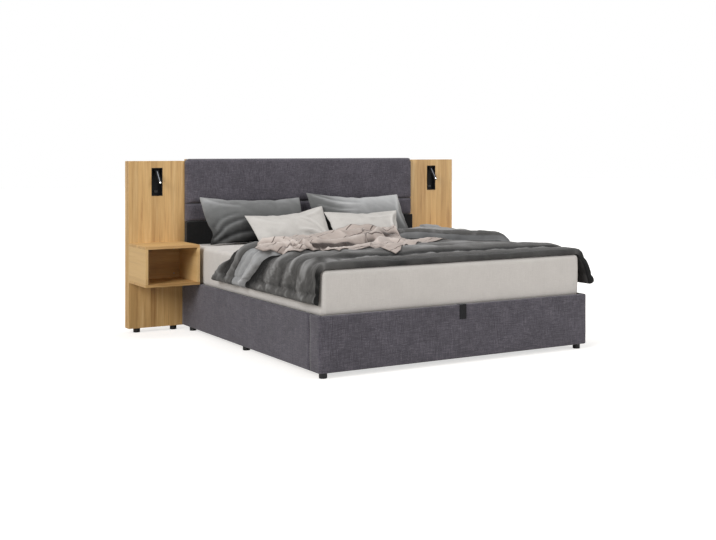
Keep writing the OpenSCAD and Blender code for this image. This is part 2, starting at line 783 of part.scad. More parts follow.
eye_d = 20;
eye_t = 10;
module gas_cylinders() {
    bore = lift_pin_d - 2 + 2 * pin_clearance;
    color(BLACK) both_sides() along_strut() difference() {
        union() {
            translate([-eye_t / 2, 0, 0]) rotate([0, 90, 0]) cylinder(d = eye_d, h = eye_t);
            translate([0, 0, eye_d / 2 - 2]) cylinder(d = strut_d, h = cylinder_l - eye_d / 2 + 2);
        }
        translate([-eye_t, 0, 0]) rotate([0, 90, 0]) cylinder(d = bore, h = 2 * eye_t);
        translate([0, 0, eye_d / 2 + 6]) cylinder(d = strut_d - 4, h = cylinder_l - eye_d / 2 - 12);
        translate([0, 0, eye_d / 2 + 6]) cylinder(d = strut_rod_d + 2 * pin_clearance, h = cylinder_l);
    }
}

rod_in = 26;
piston_t = 8;
module gas_rods() {
    color([0.75, 0.76, 0.78]) both_sides() along_strut() {
        translate([0, 0, rod_in]) cylinder(d = strut_rod_d, h = strut_l - eye_d / 2 - rod_in + 1);
        translate([0, 0, rod_in]) cylinder(d = strut_d - 4 - 2 * pin_clearance, h = piston_t);
        translate([-eye_t / 2, 0, strut_l]) rotate([0, 90, 0]) cylinder(d = eye_d, h = eye_t);
    }
}

// Plates on the platform frame that hang on the lift arms, with the strut's stud
module lift_upper_brackets() {
    outline = [[idler_top_y - 22, idler_top_z - 16], [pivot_y + 20, pivot_z - 18],
        [strut_top_y + 18, strut_top_z - 12], [strut_top_y + 18, tube_top], [idler_top_y - 22, tube_top]];
    color(STEEL) both_sides() {
        translate([bracket_x, 0, 0]) rotate([90, 0, 90]) linear_extrude(link_t) polygon(outline);
        pin_x(bracket_x + link_t, link_x + link_t + 2, pivot_y, pivot_z, lift_pin_d);
        pin_x(bracket_x + link_t, strut_x - eye_t / 2 - 0.5, strut_top_y, strut_top_z, lift_pin_d - 2);
    }
}

// ---------- platform ----------

module platform_frame() {
    inner = tube_out - tube_w;
    color(STEEL) {
        both_sides() box_at([inner, frame_foot, tube_bottom], [tube_out, frame_head, tube_top]);
        for (y = [frame_foot, frame_head - tube_w])
            box_at([-inner, y, tube_bottom], [inner, y + tube_w, tube_top]);
        box_at([-tube_w / 2, frame_foot + tube_w, tube_bottom], [tube_w / 2, frame_head - tube_w, tube_top]);
    }
}

slat_end = 36;
slat_pitch = (frame_head - frame_foot - slat_w - 2 * slat_end) / (slat_count - 1);
function slat_y(i) = frame_foot + slat_end + slat_w / 2 + i * slat_pitch;

module slats() {
    color(BOARD) both_sides() for (i = [0:slat_count - 1])
        box_at([8, slat_y(i) - slat_w / 2, tube_top + 1.5], [tube_out - 8, slat_y(i) + slat_w / 2, platform_z]);
}

// Plastic saddles that hold the slat ends on the tubes
module slat_holders() {
    color(BLACK) both_sides() for (i = [0:slat_count - 1]) for (x = [3, tube_out - holder_l - 1]) difference() {
        box_at([x, slat_y(i) - slat_w / 2 - 3, tube_top],
            [x + holder_l, slat_y(i) + slat_w / 2 + 3, platform_z - 3]);
        box_at([8, slat_y(i) - slat_w / 2, tube_top + 1.5],
            [tube_out - 8, slat_y(i) + slat_w / 2, platform_z + 1]);
    }
}

strap_w = 45;
strap_drop = 83;
strap_pad_l = 30;
// Pull strap: from a pad on the platform's foot tube, up between mattress and rail, over and down
module pull_strap() {
    over = box_top + 0.4;
    inner_y = mattress_foot - 1.3;
    pad_top = platform_z - seat;
    outer_y = foot_out - strap_gap;
    color(BLACK) translate([-strap_w / 2, 0, 0]) {
        box_at([0, frame_foot, tube_top], [strap_w, frame_foot + strap_pad_l, pad_top]);
        box_at([0, inner_y - strap_t, pad_top - strap_t], [strap_w, frame_foot + 1, pad_top]);
        box_at([0, inner_y - strap_t, pad_top - strap_t], [strap_w, inner_y, over + strap_t]);
        box_at([0, outer_y - strap_t, over], [strap_w, inner_y, over + strap_t]);
        box_at([0, outer_y - strap_t, box_top - strap_drop], [strap_w, outer_y, over + strap_t]);
    }
}

// ---------- bedding ----------

module mattress() {
    color(WHITE_CLOTH) translate([0, (mattress_foot + mattress_head) / 2, mattress_z])
        soft_block(mattress_w, mattress_l, mattress_h, mattress_corner_r, mattress_edge_r);
}

// Pillows: x of the edges that face each other, and the lower edges' distances from the headboard
grey_lean = 60;
white_lean = 45;
left_grey_edge = -83.5;
right_grey_edge = -30.5;
left_white_edge = 37;
right_white_edge = 51;
grey_sink = 4.5;
white_sink = 83;
white_step = 10;
grey_gap = grey_pillow_l * cos(grey_lean) + grey_pillow_t / 2 - grey_sink;
white_gap = grey_gap + grey_pillow_t + white_pillow_t + 0.2 * white_pillow_l - white_sink;

// Duvet: over the top and down both sides, with its head part folded back over itself.
// s runs across from hem to hem, along the duvet's inner face.
duvet_air = 0.7;
duvet_edge_r = 30;
side_l = mattress_top - hem_z - duvet_edge_r;
top_half = mattress_side - mattress_edge_r;
arc_l = duvet_edge_r * PI / 2;
duvet_foot = mattress_foot + 2;
fold_back = 1165;
fold_edge = headboard_front - fold_back;
side_gap_head = 760;
side_gap_hem = 540;
pillow_air = 61;
beside_pillows = 180;
beside_reach = 60;
beside_from = 745;
front_reach = 420;
stand_air = 12;

// Place of the duvet's inner face and its outward direction, as [x, z, nx, nz]
function duvet_at(s) = let (a = abs(s), g = sign(s), z = mattress_top + duvet_air)
    a < top_half ? [s, z, 0, 1]
    : a < top_half + arc_l ? let (t = (a - top_half) / duvet_edge_r * 180 / PI)
        [g * (top_half + duvet_edge_r * sin(t)), z - duvet_edge_r * (1 - cos(t)), g * sin(t), cos(t)]
    : let (d = a - top_half - arc_l)
        [g * (top_half + duvet_edge_r + flare(g) * d / side_l), z - duvet_edge_r - d, g, 0];
function flare(g) = g > 0 ? 62 : 14;

// Distance from the headboard to the duvet's head edge: oblique at the left, in front of
// the pillows in the middle, beside them at the right
function head_gap(s) = let (front = white_gap + pillow_air)
    s < -top_half ? side_gap_head - (side_gap_head - side_gap_hem) * ease((-top_half - s) / side_l)
    : side_gap_head - (side_gap_head - front) * ease((s + top_half) / front_reach)
        - (front - beside_pillows) * ease((s - beside_from) / beside_reach)
        + (headboard_front - stand_front - beside_pillows + stand_air) * ease((s - top_half + 55) / 50);

// Main folds, as extra rise of the outer face at distance s and place y
function folds(s, y) = 7 * pow(sin(s / 2.9 - y / 6), 2)
    + 11 * exp(-pow((y - duvet_foot - 190) / 60, 2))
    + (abs(s) > top_half ? 9 * pow(sin(y / 1.9), 2) : 0);

// Distances of the duvet's columns: down the sides, round the edges and across the top
side_columns = [0, 0.5, 1];
edge_steps = 5;
top_steps = 26;
right_columns = concat([for (k = [1:edge_steps - 1]) top_half + arc_l * k / edge_steps],
    [for (k = side_columns) top_half + arc_l + side_l * k]);
duvet_columns = concat([for (k = [len(right_columns) - 1:-1:0]) -right_columns[k]],
    [for (k = [0:top_steps]) top_half * (-1 + 2 * k / top_steps)], right_columns);
duvet_cols = len(duvet_columns) - 1;
head_rows = [0, 0.06, 0.2, 0.4, 0.6, 0.8, 0.95, 1];
foot_rows = [0, 0.2, 0.45, 0.66, 0.78, 0.92, 1];
fold_step = 26;
last_row = len(head_rows) + len(foot_rows) - 1;
function duvet_y(s, j) = let (y0 = headboard_front - head_gap(s), m = len(head_rows))
    j < m ? y0 + (fold_edge - y0) * head_rows[j]
    : fold_edge - fold_step + (duvet_foot - fold_edge + fold_step) * foot_rows[j - m];
function duvet_rise(i, j) = let (s = duvet_columns[i], y = duvet_y(s, j), rim = i == 0 || i == duvet_cols,
    layers = j < len(head_rows) ? 2 : 1, end = rim || j == last_row)
    duvet_t * layers * (end || j == 0 ? 0.5 : 1) + (end ? 0.3 : 1) * folds(s, y);
function duvet_point(i, j, out) = let (s = duvet_columns[i], p = duvet_at(s))
    [p[0] + p[2] * out, duvet_y(s, j), p[1] + p[3] * out];
function duvet_grid(k) = [for (j = [0:last_row]) [for (i = [0:duvet_cols])
    duvet_point(i, j, k * duvet_rise(i, j))]];

module duvet() {
    color(GREY_CLOTH) shell_between(duvet_grid(0), duvet_grid(1));
}

// Throw: spread over the folded part of the duvet, drawn together at the left end, with one
// corner towards the foot. Its head and foot edges are given as [distance from its left end,
// distance in front of the white pillows' edges].
throw_head_edge = [[0, 465], [150, 160], [330, 0], [1350, -2], [1410, 120], [1480, 380]];
throw_foot_edge = [[0, 530], [230, 850], [410, 920], [570, 1220], [790, 1020], [1150, 640], [1480, 450]];
throw_inset = 22;
throw_w = 1480;
throw_left = throw_inset - top_half;
throw_air = 86;
throw_cols = 24;
throw_rows = 9;
throw_gap = 0.8;
// Height of the duvet's top under the throw, bridged where the folded part ends
function throw_bed(x, y) = let (drop = ease((fold_edge - fold_step - 40 - y) / 160))
    mattress_top + duvet_air + duvet_t * (2 - 0.94 * drop) + folds(x, y) + 7 * exp(-pow((y - fold_edge) / 110, 2));
function ruck(x, y) = 11 * pow(sin(x / 1.7 + y / 2.3), 2) + 5 * pow(sin(x / 0.9 - y / 1.2), 2);
function throw_grid(k) = [for (j = [0:throw_rows]) [for (i = [0:throw_cols])
    let (t = throw_w * i / throw_cols, x = throw_left + t, start = headboard_front - white_gap - throw_air,
        a = lookup(t, throw_head_edge), b = lookup(t, throw_foot_edge),
        y = start - a - (b - a) * j / throw_rows, rim = j == 0 || j == throw_rows ? 0.3 : 1)
    [x, y, throw_bed(x, y) + throw_gap + k * (throw_t + rim * ruck(x, y))]]];

module throw_blanket() {
    color(TAUPE) shell_between(throw_grid(0), throw_grid(1));
}

module grey_pillow(x, gap, roll, turn) {
    color(GREY_CLOTH) bed_pillow(x, gap, grey_lean, roll, turn, grey_pillow_w, grey_pillow_l, grey_pillow_t);
}

module white_pillow(x, gap, roll, turn) {
    color(WHITE_CLOTH) bed_pillow(x, gap, white_lean, roll, turn, white_pillow_w, white_pillow_l, white_pillow_t);
}

module left_grey_pillow() grey_pillow(left_grey_edge - grey_pillow_w / 2, grey_gap, 0, 0);
module right_grey_pillow() grey_pillow(right_grey_edge + grey_pillow_w / 2, grey_gap, 0, 0);
module left_white_pillow() white_pillow(left_white_edge - white_pillow_w / 2, white_gap, -2.5, 1);
module right_white_pillow() white_pillow(right_white_edge + white_pillow_w / 2, white_gap + white_step, 0.5, -0.5);

left_side_rail();
right_side_rail();
foot_rail();
head_rail();
left_rail_cover();
right_rail_cover();
foot_rail_cover();
storage_floor();
floor_battens();
corner_brackets();
frame_bolts();
platform_rests();
bed_feet();
headboard_frame();
headboard_cushion_top();
headboard_cushion_middle();
headboard_lower_panel();
headboard_brackets();
left_wall_panel();
right_wall_panel();
left_panel_back();
right_panel_back();
panel_feet();
panel_brackets();
left_nightstand_top();
left_nightstand_base();
left_nightstand_outer_side();
left_nightstand_inner_side();
left_nightstand_back();
right_nightstand_top();
right_nightstand_base();
right_nightstand_outer_side();
right_nightstand_inner_side();
right_nightstand_back();
nightstand_screws();
left_lamp_housing();
right_lamp_housing();
left_usb_socket();
right_usb_socket();
left_lamp_arm();
right_lamp_arm();
left_lamp_lens();
right_lamp_lens();
lift_base_plates();
lift_arms();
idler_links();
gas_cylinders();
gas_rods();
lift_upper_brackets();
platform_frame();
slats();
slat_holders();
pull_strap();
mattress();
duvet();
throw_blanket();
left_grey_pillow();
right_grey_pillow();
left_white_pillow();
right_white_pillow();
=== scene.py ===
"""Upholstered storage bed between oak wall panels, with hung nightstands, reading
lamps and a made-up mattress. Metres. X runs across the bed, -Y is the foot end."""
import math

import bmesh
import bpy
import numpy as np
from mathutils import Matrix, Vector


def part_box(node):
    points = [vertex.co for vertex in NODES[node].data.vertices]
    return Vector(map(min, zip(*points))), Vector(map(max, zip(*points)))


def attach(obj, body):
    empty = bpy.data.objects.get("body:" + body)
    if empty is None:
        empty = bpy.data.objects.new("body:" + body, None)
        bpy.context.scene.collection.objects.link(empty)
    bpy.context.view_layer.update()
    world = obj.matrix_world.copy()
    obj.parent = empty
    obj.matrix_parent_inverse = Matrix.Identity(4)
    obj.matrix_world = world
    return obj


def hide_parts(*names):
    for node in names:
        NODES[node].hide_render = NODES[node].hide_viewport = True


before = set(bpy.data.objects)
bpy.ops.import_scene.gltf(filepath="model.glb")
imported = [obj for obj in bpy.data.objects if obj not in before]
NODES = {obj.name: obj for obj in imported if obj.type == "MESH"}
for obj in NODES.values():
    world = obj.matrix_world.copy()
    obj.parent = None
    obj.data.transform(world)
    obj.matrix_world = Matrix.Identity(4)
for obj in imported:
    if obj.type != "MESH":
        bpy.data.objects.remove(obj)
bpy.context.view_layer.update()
scene = bpy.context.scene

# ---------- places taken from the frame ----------
MATTRESS_LOW, MATTRESS_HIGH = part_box("mattress")
MATTRESS_TOP = MATTRESS_HIGH.z
MATTRESS_HALF = MATTRESS_HIGH.x
MATTRESS_FOOT = MATTRESS_LOW.y
MATTRESS_HEAD = MATTRESS_HIGH.y
HEADBOARD_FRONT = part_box("headboard_lower_panel")[0].y
PANEL_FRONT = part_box("right_wall_panel")[0].y
COVER_LOW, COVER_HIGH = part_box("foot_rail_cover")
RAIL_OUT = COVER_HIGH.x
BOX_TOP = COVER_HIGH.z
BOX_BOTTOM = COVER_LOW.z
FOOT_OUT = COVER_LOW.y
RAIL_THICK = 0.024
COVER_THICK = 0.005
COVER_RIPPLE = 0.0012
SEAM_GAP = 0.0006


# ---------- wandering numbers, folds and creases ----------
def ripple(points, seed, size, waves=14):
    """Smooth wandering value of about -1 to 1 at each point, with features of that size."""
    rng = np.random.default_rng(seed)
    points = np.asarray(points, float)
    total = np.zeros(points.shape[:-1])
    for _ in range(waves):
        direction = rng.normal(size=points.shape[-1])
        direction /= np.linalg.norm(direction)
        pitch = size * rng.uniform(0.7, 1.8)
        total += np.sin(points @ direction * 2 * np.pi / pitch + rng.uniform(0, 2 * np.pi))
    return total / math.sqrt(waves) * 0.8


def ease(t):
    """Soft step from 0 to 1."""
    t = np.clip(t, 0, 1)
    return t * t * (3 - 2 * t)


def bell(distance, width):
    """1 at no distance, falling to 0 on both sides."""
    return np.exp(-(distance / width) ** 2)


def edge_swell(distance, rounding):
    """0 at an edge to 1 inside it, as a round rim."""
    d = np.clip(distance / rounding, 0, 1)
    return np.sqrt(np.clip(1 - (1 - d) ** 2, 0, 1))


def along(s, table):
    """Value at s, read off a table of (s, value)."""
    xs, ys = zip(*table)
    return np.interp(s, xs, ys)


def soft_line(points, rounds=2):
    """Line through points with its corners cut round."""
    line = np.array(points, float)
    for _ in range(rounds):
        a, b = line[:-1], line[1:]
        cut = np.stack([0.75 * a + 0.25 * b, 0.25 * a + 0.75 * b], 1).reshape(-1, line.shape[1])
        line = np.concatenate([line[:1], cut, line[-1:]])
    return line


# Shares of a fold's path over which it rises and dies out
FADE_IN, FADE_OUT = 0.16, 0.4
# The hollow beside a fold: depth by the fold's height, place and width by its half width
TROUGH_DEPTH, TROUGH_AT, TROUGH_WIDTH = 0.45, 1.7, 0.9


def fold_height(u, v, folds):
    """Height of cloth folds at places (u, v). A fold is (points..., height, half width)."""
    shape = np.shape(u)
    p = np.stack([np.ravel(u), np.ravel(v)], 1)
    total = np.zeros(len(p))
    for *points, height, width in folds:
        path = soft_line(points)
        best = np.full(len(p), 1e9)
        along_path = np.zeros(len(p))
        side = np.zeros(len(p))
        for k in range(len(path) - 1):
            a, d = path[k], path[k + 1] - path[k]
            t = np.clip(((p - a) @ d) / (d @ d), 0, 1)
            r = p - (a + t[:, None] * d)
            dist = np.hypot(r[:, 0], r[:, 1])
            near = dist < best
            best = np.where(near, dist, best)
            along_path = np.where(near, (k + t) / (len(path) - 1), along_path)
            side = np.where(near, np.sign(d[0] * r[:, 1] - d[1] * r[:, 0]) * dist, side)
        fade = ease(along_path / FADE_IN) * ease((1 - along_path) / FADE_OUT)
        crest = bell(best, width)
        trough = TROUGH_DEPTH * bell(side - TROUGH_AT * width, TROUGH_WIDTH * width)
        total += height * fade * (crest - trough)
    return total.reshape(shape)


def crumple(points, seed, size):
    """Sharp creases between flat places, 0 to 1."""
    a = ripple(points, seed, size, 8)
    b = ripple(points, seed + 1, size * 0.55, 8)
    return 0.65 * bell(a, 0.30) + 0.35 * bell(b, 0.30)


# ---------- meshes ----------
def shown(name, mesh, finish, smooth=True):
    """The mesh as an object of the scene, with its finish."""
    obj = bpy.data.objects.new(name, mesh)
    scene.collection.objects.link(obj)
    if not mesh.materials:
        mesh.materials.append(finish)
    if smooth:
        mesh.polygons.foreach_set("use_smooth", [True] * len(mesh.polygons))
    return obj


def make_piece(name, verts, faces, finish, uv=None, smooth=True, tone=None):
    """Piece of points and faces. uv is each point's place on flat cloth, tone its painted shade and
    highlight.
    """
    mesh = bpy.data.meshes.new(name)
    mesh.from_pydata([tuple(map(float, v)) for v in verts], [], [tuple(map(int, f)) for f in faces])
    bm = bmesh.new()
    bm.from_mesh(mesh)
    bmesh.ops.recalc_face_normals(bm, faces=bm.faces)
    bm.to_mesh(mesh)
    bm.free()
    if uv is not None:
        layer = mesh.uv_layers.new(name="cloth_map")
        index = np.zeros(len(mesh.loops), int)
        mesh.loops.foreach_get("vertex_index", index)
        layer.data.foreach_set("uv", np.asarray(uv, float)[index].astype(np.float32).ravel())
    # The tone is stored as an attribute of painted shade and highlight, which the cloth finishes
    # read.
    if tone is not None:
        layer = mesh.attributes.new("painted_shade_and_highlight", "FLOAT", "POINT")
        layer.data.foreach_set("value", np.clip(tone, 0, 1).astype(np.float32).ravel())
    return shown(name, mesh, finish, smooth)


def subdivided(obj):
    """The object with one level of smooth subdivision made real."""
    modifier = obj.modifiers.new("smooth", "SUBSURF")
    modifier.levels = modifier.render_levels = 1
    modifier.use_limit_surface = False
    graph = bpy.context.evaluated_depsgraph_get()
    mesh = bpy.data.meshes.new_from_object(obj.evaluated_get(graph), preserve_all_data_layers=True,
                                           depsgraph=graph)
    obj.modifiers.clear()
    old = obj.data
    obj.data = mesh
    bpy.data.meshes.remove(old)
    return obj


def grid_faces(rows, cols, offset=0):
    i = np.arange(cols - 1)
    faces = []
    for j in range(rows - 1):
        a = offset + j * cols + i
        faces += np.stack([a, a + 1, a + cols + 1, a + cols], 1).tolist()
    return faces


def tube_faces(rings, count):
    """Faces of a tube of closed rings with count points each, and its two caps."""
    faces = [[j * count + i, j * count + (i + 1) % count,
              (j + 1) * count + (i + 1) % count, (j + 1) * count + i]
             for j in range(rings - 1) for i in range(count)]
    return faces + [list(range(count)), list(range((rings - 1) * count, rings * count))]


def cloth_shell(name, top, bottom, finish, uv, tone=None):
    """Closed piece between two matching grids of points. tone is painted shade and highlight, 0.5
    for plain cloth.
    """
    rows, cols = top.shape[:2]
    count = rows * cols
    verts = np.concatenate([top.reshape(-1, 3), bottom.reshape(-1, 3)])
    faces = grid_faces(rows, cols) + [f[::-1] for f in grid_faces(rows, cols, count)]
    rim = (list(range(cols - 1)) + [j * cols + cols - 1 for j in range(rows - 1)]
           + [(rows - 1) * cols + i for i in range(cols - 1, 0, -1)]
           + [j * cols for j in range(rows - 1, 0, -1)])
    for a, b in zip(rim, rim[1:] + rim[:1]):
        faces.append([a, a + count, b + count, b])
    uv = np.asarray(uv).reshape(-1, 2)
    if tone is not None:
        # The inner face gets painted shade, no lighter than 0.3.
        tone = np.concatenate([tone.ravel(), np.minimum(tone.ravel(), 0.3)])
    return make_piece(name, verts, faces, finish, np.concatenate([uv, uv]), tone=tone)


def sweep(name, profile, places, outwards, finish, ripple_by=0.0, seed=1):
    """Closed profile of (out, up) points carried along places, with capped ends.
    ripple_by is how far its outer face wanders."""
    rows = []
    for place, out in zip(places, outwards):
        rows.append([[place[0] + out[0] * n, place[1] + out[1] * n, z] for n, z in profile])
    grid = np.array(rows)
    if ripple_by:
        outer = np.array([n > -0.002 for n, _ in profile])
        push = ripple(grid, seed, 0.34) * ripple_by \
            + ripple(grid, seed + 1, 0.09) * ripple_by * 0.35
        grid[..., 0] += push * outer * np.array(outwards)[:, None, 0]
        grid[..., 1] += push * outer * np.array(outwards)[:, None, 1]
    return make_piece(name, grid.reshape(-1, 3), tube_faces(len(grid), len(profile)), finish)


def dress(name, node, body, slot, finish, edge, segments=2, smooth=False):
    """Takes a CAD node's place with a copy that has rounded edges and its own finish."""
    bm = bmesh.new()
    bm.from_mesh(NODES[node].data)
    bmesh.ops.remove_doubles(bm, verts=bm.verts, dist=1e-5)
    bmesh.ops.dissolve_limit(bm, angle_limit=math.radians(1), verts=bm.verts, edges=bm.edges)
    sharp = [e for e in bm.edges
             if len(e.link_faces) == 2 and e.calc_face_angle(0) > math.radians(35)]
    bmesh.ops.bevel(bm, geom=sharp, offset=edge, segments=segments, affect="EDGES", profile=0.6,
                    clamp_overlap=True)
    mesh = bpy.data.meshes.new(name)
    bm.to_mesh(mesh)
    bm.free()
    obj = shown(name, mesh, finish, smooth)
    if smooth:
        mesh.set_sharp_from_angle(angle=math.radians(32))
    place(obj, body, slot, node)


def place(obj, body, slot, *replaced):
    """Ties a piece to its body and to the CAD nodes that it takes the place of. slot is not used.
    """
    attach(obj, body)
    if replaced:
        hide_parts(*replaced)


# ---------- shader building ----------
def put(tree, kind, values=(), **settings):
    """Adds a node. values maps input names or numbers to numbers or to sockets to link."""
    node = tree.nodes.new(kind)
    for key, value in settings.items():
        setattr(node, key, value)
    for key, value in dict(values).items():
        if isinstance(value, bpy.types.NodeSocket):
            tree.links.new(value, node.inputs[key])
        else:
            node.inputs[key].default_value = value
    return node


def maths(tree, operation, *values):
    return put(tree, "ShaderNodeMath", dict(enumerate(values)), operation=operation).outputs[0]


def plus(tree, a, b):
    return maths(tree, "ADD", a, b)


def minus(tree, a, b):
    return maths(tree, "SUBTRACT", a, b)


def times(tree, a, b):
    return maths(tree, "MULTIPLY", a, b)


def axes(tree, vector):
    """The X, Y and Z of a vector."""
    return put(tree, "ShaderNodeSeparateXYZ", {0: vector}).outputs


def shifted(tree, vector, shift):
    return put(tree, "ShaderNodeVectorMath", {0: vector, 1: shift}, operation="ADD").outputs[0]


def grey(level):
    return (level,) * 3


def stretched(tree, vector, x, y, z):
    return put(tree, "ShaderNodeMapping", {"Vector": vector, "Scale": (x, y, z)}).outputs[0]


def cloud(tree, vector, scale, detail=3.0, roughness=0.55):
    return put(tree, "ShaderNodeTexNoise", {"Vector": vector, "Scale": scale, "Detail": detail,
                                            "Roughness": roughness}).outputs["Fac"]


def ramp(tree, value, stops, smooth=True):
    node = put(tree, "ShaderNodeValToRGB", {"Fac": value})
    band = node.color_ramp
    band.interpolation = "EASE" if smooth else "LINEAR"
    while len(band.elements) < len(stops):
        band.elements.new(0.5)
    for element, (at, colour) in zip(band.elements, stops):
        element.position = at
        element.color = (*colour, 1)
    return node.outputs["Color"]


def mixed(tree, amount, first, second, blend="MIX"):
    node = tree.nodes.new("ShaderNodeMix")
    node.data_type = "RGBA"
    node.blend_type = blend
    for key, value in ((0, amount), (6, first), (7, second)):
        if isinstance(value, bpy.types.NodeSocket):
            tree.links.new(value, node.inputs[key])
        else:
            node.inputs[key].default_value = value if key == 0 else (*value, 1)
    return node.outputs[2]


def linear(r, g, b):
    """Linear colour from 0-255 screen values."""
    return tuple(c / 255 / 12.92 if c / 255 <= 0.04045 else ((c / 255 + 0.055) / 1.055) ** 2.4
                 for c in (r, g, b))


def effect(name, inputs, outputs, build):
    """Shader node group. inputs maps names to defaults (None: a vector); outputs are names."""
    group = bpy.data.node_groups.new(name, "ShaderNodeTree")
    for label, value in inputs.items():
        kind = "NodeSocketVector" if value is None else "NodeSocketFloat"
        socket = group.interface.new_socket(label, in_out="INPUT", socket_type=kind)
        if value is not None:
            socket.default_value = value
    for label in outputs:
        group.interface.new_socket(label, in_out="OUTPUT", socket_type="NodeSocketFloat")
    entry = group.nodes.new("NodeGroupInput")
    leave = group.nodes.new("NodeGroupOutput")
    for label, socket in build(group, entry.outputs).items():
        group.links.new(socket, leave.inputs[label])
    return group


def weave_build(g, given):
    """Crossed yarns with thick and thin places, as on a melange upholstery cloth."""
    split = axes(g, given["Place"])
    across = times(g, plus(g, split[0], split[1]), given["Threads per metre"])
    up = times(g, split[2], given["Threads per metre"])
    yarn = times(g, maths(g, "SINE", times(g, across, math.pi)),
                 maths(g, "SINE", times(g, up, math.pi)))
    lying = cloud(g, stretched(g, given["Place"], 22, 22, 420), 1.0, 3.0)
    standing = cloud(g, stretched(g, given["Place"], 420, 420, 22), 1.0, 3.0)
    fleck = cloud(g, given["Place"], 240.0, 2.0, 0.7)
    slub = plus(g, times(g, lying, 0.5), times(g, standing, 0.5))
    tone = plus(g, times(g, slub, 0.7), times(g, fleck, 0.3))
    height = plus(g, times(g, yarn, 0.25), slub)
    return {"Tone": tone, "Height": height}


def oak_build(g, given):
    """Straight oak grain along Z in glued staves, with darker streaks and fine pores."""
    split = axes(g, given["Place"])
    across = plus(g, split[0], times(g, split[1], 1.31))
    wander = times(g, cloud(g, stretched(g, given["Place"], 2, 2, 0.8), 1.0, 2.0), 0.03)
    stave_place = maths(g, "DIVIDE", plus(g, across, wander), given["Stave width"])
    stave = maths(g, "FLOOR", stave_place)
    tone = put(g, "ShaderNodeTexWhiteNoise", {"W": stave}, noise_dimensions="1D").outputs["Value"]
    shift = put(g, "ShaderNodeCombineXYZ", {2: times(g, tone, 3.0)}).outputs[0]
    moved = shifted(g, given["Place"], shift)
    figure = cloud(g, stretched(g, moved, 26, 26, 1.5), 1.0, 5.0, 0.62)
    streak = cloud(g, stretched(g, moved, 150, 150, 3.2), 1.0, 3.0, 0.6)
    pores = cloud(g, stretched(g, moved, 1300, 1300, 26), 1.0, 1.0)
    pore = times(g, minus(g, pores, 0.6), 3.0)
    pore = maths(g, "MINIMUM", maths(g, "MAXIMUM", pore, 0.0), 1.0)
    return {"Stave": tone, "Figure": figure, "Streak": streak, "Pore": pore}


def crinkle_build(g, given):
    """Soft washed-cotton crinkle with a fine plain weave."""
    split = axes(g, given["Place"])
    warp = maths(g, "SINE", times(g, split[0], given["Weave"]))
    weft = maths(g, "SINE", times(g, split[1], given["Weave"]))
    bent = cloud(g, given["Place"], 5.0, 2.0)
    push = put(g, "ShaderNodeCombineXYZ", {0: times(g, bent, 0.16), 1: bent}).outputs[0]
    place = shifted(g, given["Place"], push)
    creases = cloud(g, place, given["Crinkle"], 3.0, 0.5)
    ridge = minus(g, 1.0, times(g, maths(g, "ABSOLUTE", minus(g, creases, 0.5)), 4.0))
    thread = times(g, warp, weft)
    height = plus(g, times(g, ridge, 0.6), times(g, thread, 0.1))
    return {"Height": height, "Tone": cloud(g, given["Place"], 9.0, 4.0), "Thread": thread}


WEAVE = effect("slub_weave", {"Place": None, "Threads per metre": 380.0}, ("Tone", "Height"),
               weave_build)
OAK = effect("oak_grain", {"Place": None, "Stave width": 0.045},
             ("Stave", "Figure", "Streak", "Pore"), oak_build)
CRINKLE = effect("cotton_crinkle", {"Place": None, "Weave": 5200.0, "Crinkle": 26.0},
                 ("Height", "Tone", "Thread"), crinkle_build)


def new_finish(name, roughness=0.6, **settings):
    """A material with a Principled shader; settings set its own sockets."""
    material = bpy.data.materials.new(name)
    material.use_nodes = True
    tree = material.node_tree
    shader = tree.nodes["Principled BSDF"]
    shader.inputs["Roughness"].default_value = roughness
    for key, value in settings.items():
        shader.inputs[key.replace("_", " ")].default_value = value
    return material, tree, shader


def object_place(tree):
    """Place in the object's own frame."""
    return put(tree, "ShaderNodeTexCoord").outputs["Object"]


def cloth_place(tree):
    """Place on the cloth as it lies flat, in metres."""
    return put(tree, "ShaderNodeUVMap", uv_map="cloth_map").outputs["UV"]


def bumped(tree, shader, height, distance, strength):
    bump = put(tree, "ShaderNodeBump",
               {"Height": height, "Distance": distance, "Strength": strength})
    tree.links.new(bump.outputs[0], shader.inputs["Normal"])


def group_in(tree, group, **values):
    node = tree.nodes.new("ShaderNodeGroup")
    node.node_tree = group
    for key, value in values.items():
        socket = node.inputs[key.replace("_", " ")]
        if isinstance(value, bpy.types.NodeSocket):
            tree.links.new(value, socket)
        else:
            socket.default_value = value
    return node.outputs


def upholstery(name, dark, middle, light, mottle=0.11, relief=0.0016):
    """Melange cloth on a hard core, in three screen colours."""
    material, tree, shader = new_finish(name, 0.95, Sheen_Weight=0.2, Sheen_Roughness=0.5,
                                        Specular_IOR_Level=0.2)
    at = object_place(tree)
    weave = group_in(tree, WEAVE, Place=at)
    colour = ramp(tree, weave["Tone"],
                  [(0.36, linear(*dark)), (0.5, linear(*middle)), (0.64, linear(*light))])
    blotch = ramp(tree, cloud(tree, at, 9.0, 4.0),
                  [(0.3, grey(1 - mottle)), (0.7, grey(1 + mottle * 0.8))])
    tree.links.new(mixed(tree, 1.0, colour, blotch, "MULTIPLY"), shader.inputs["Base Color"])
    bumped(tree, shader, weave["Height"], relief, 0.7)
    return material


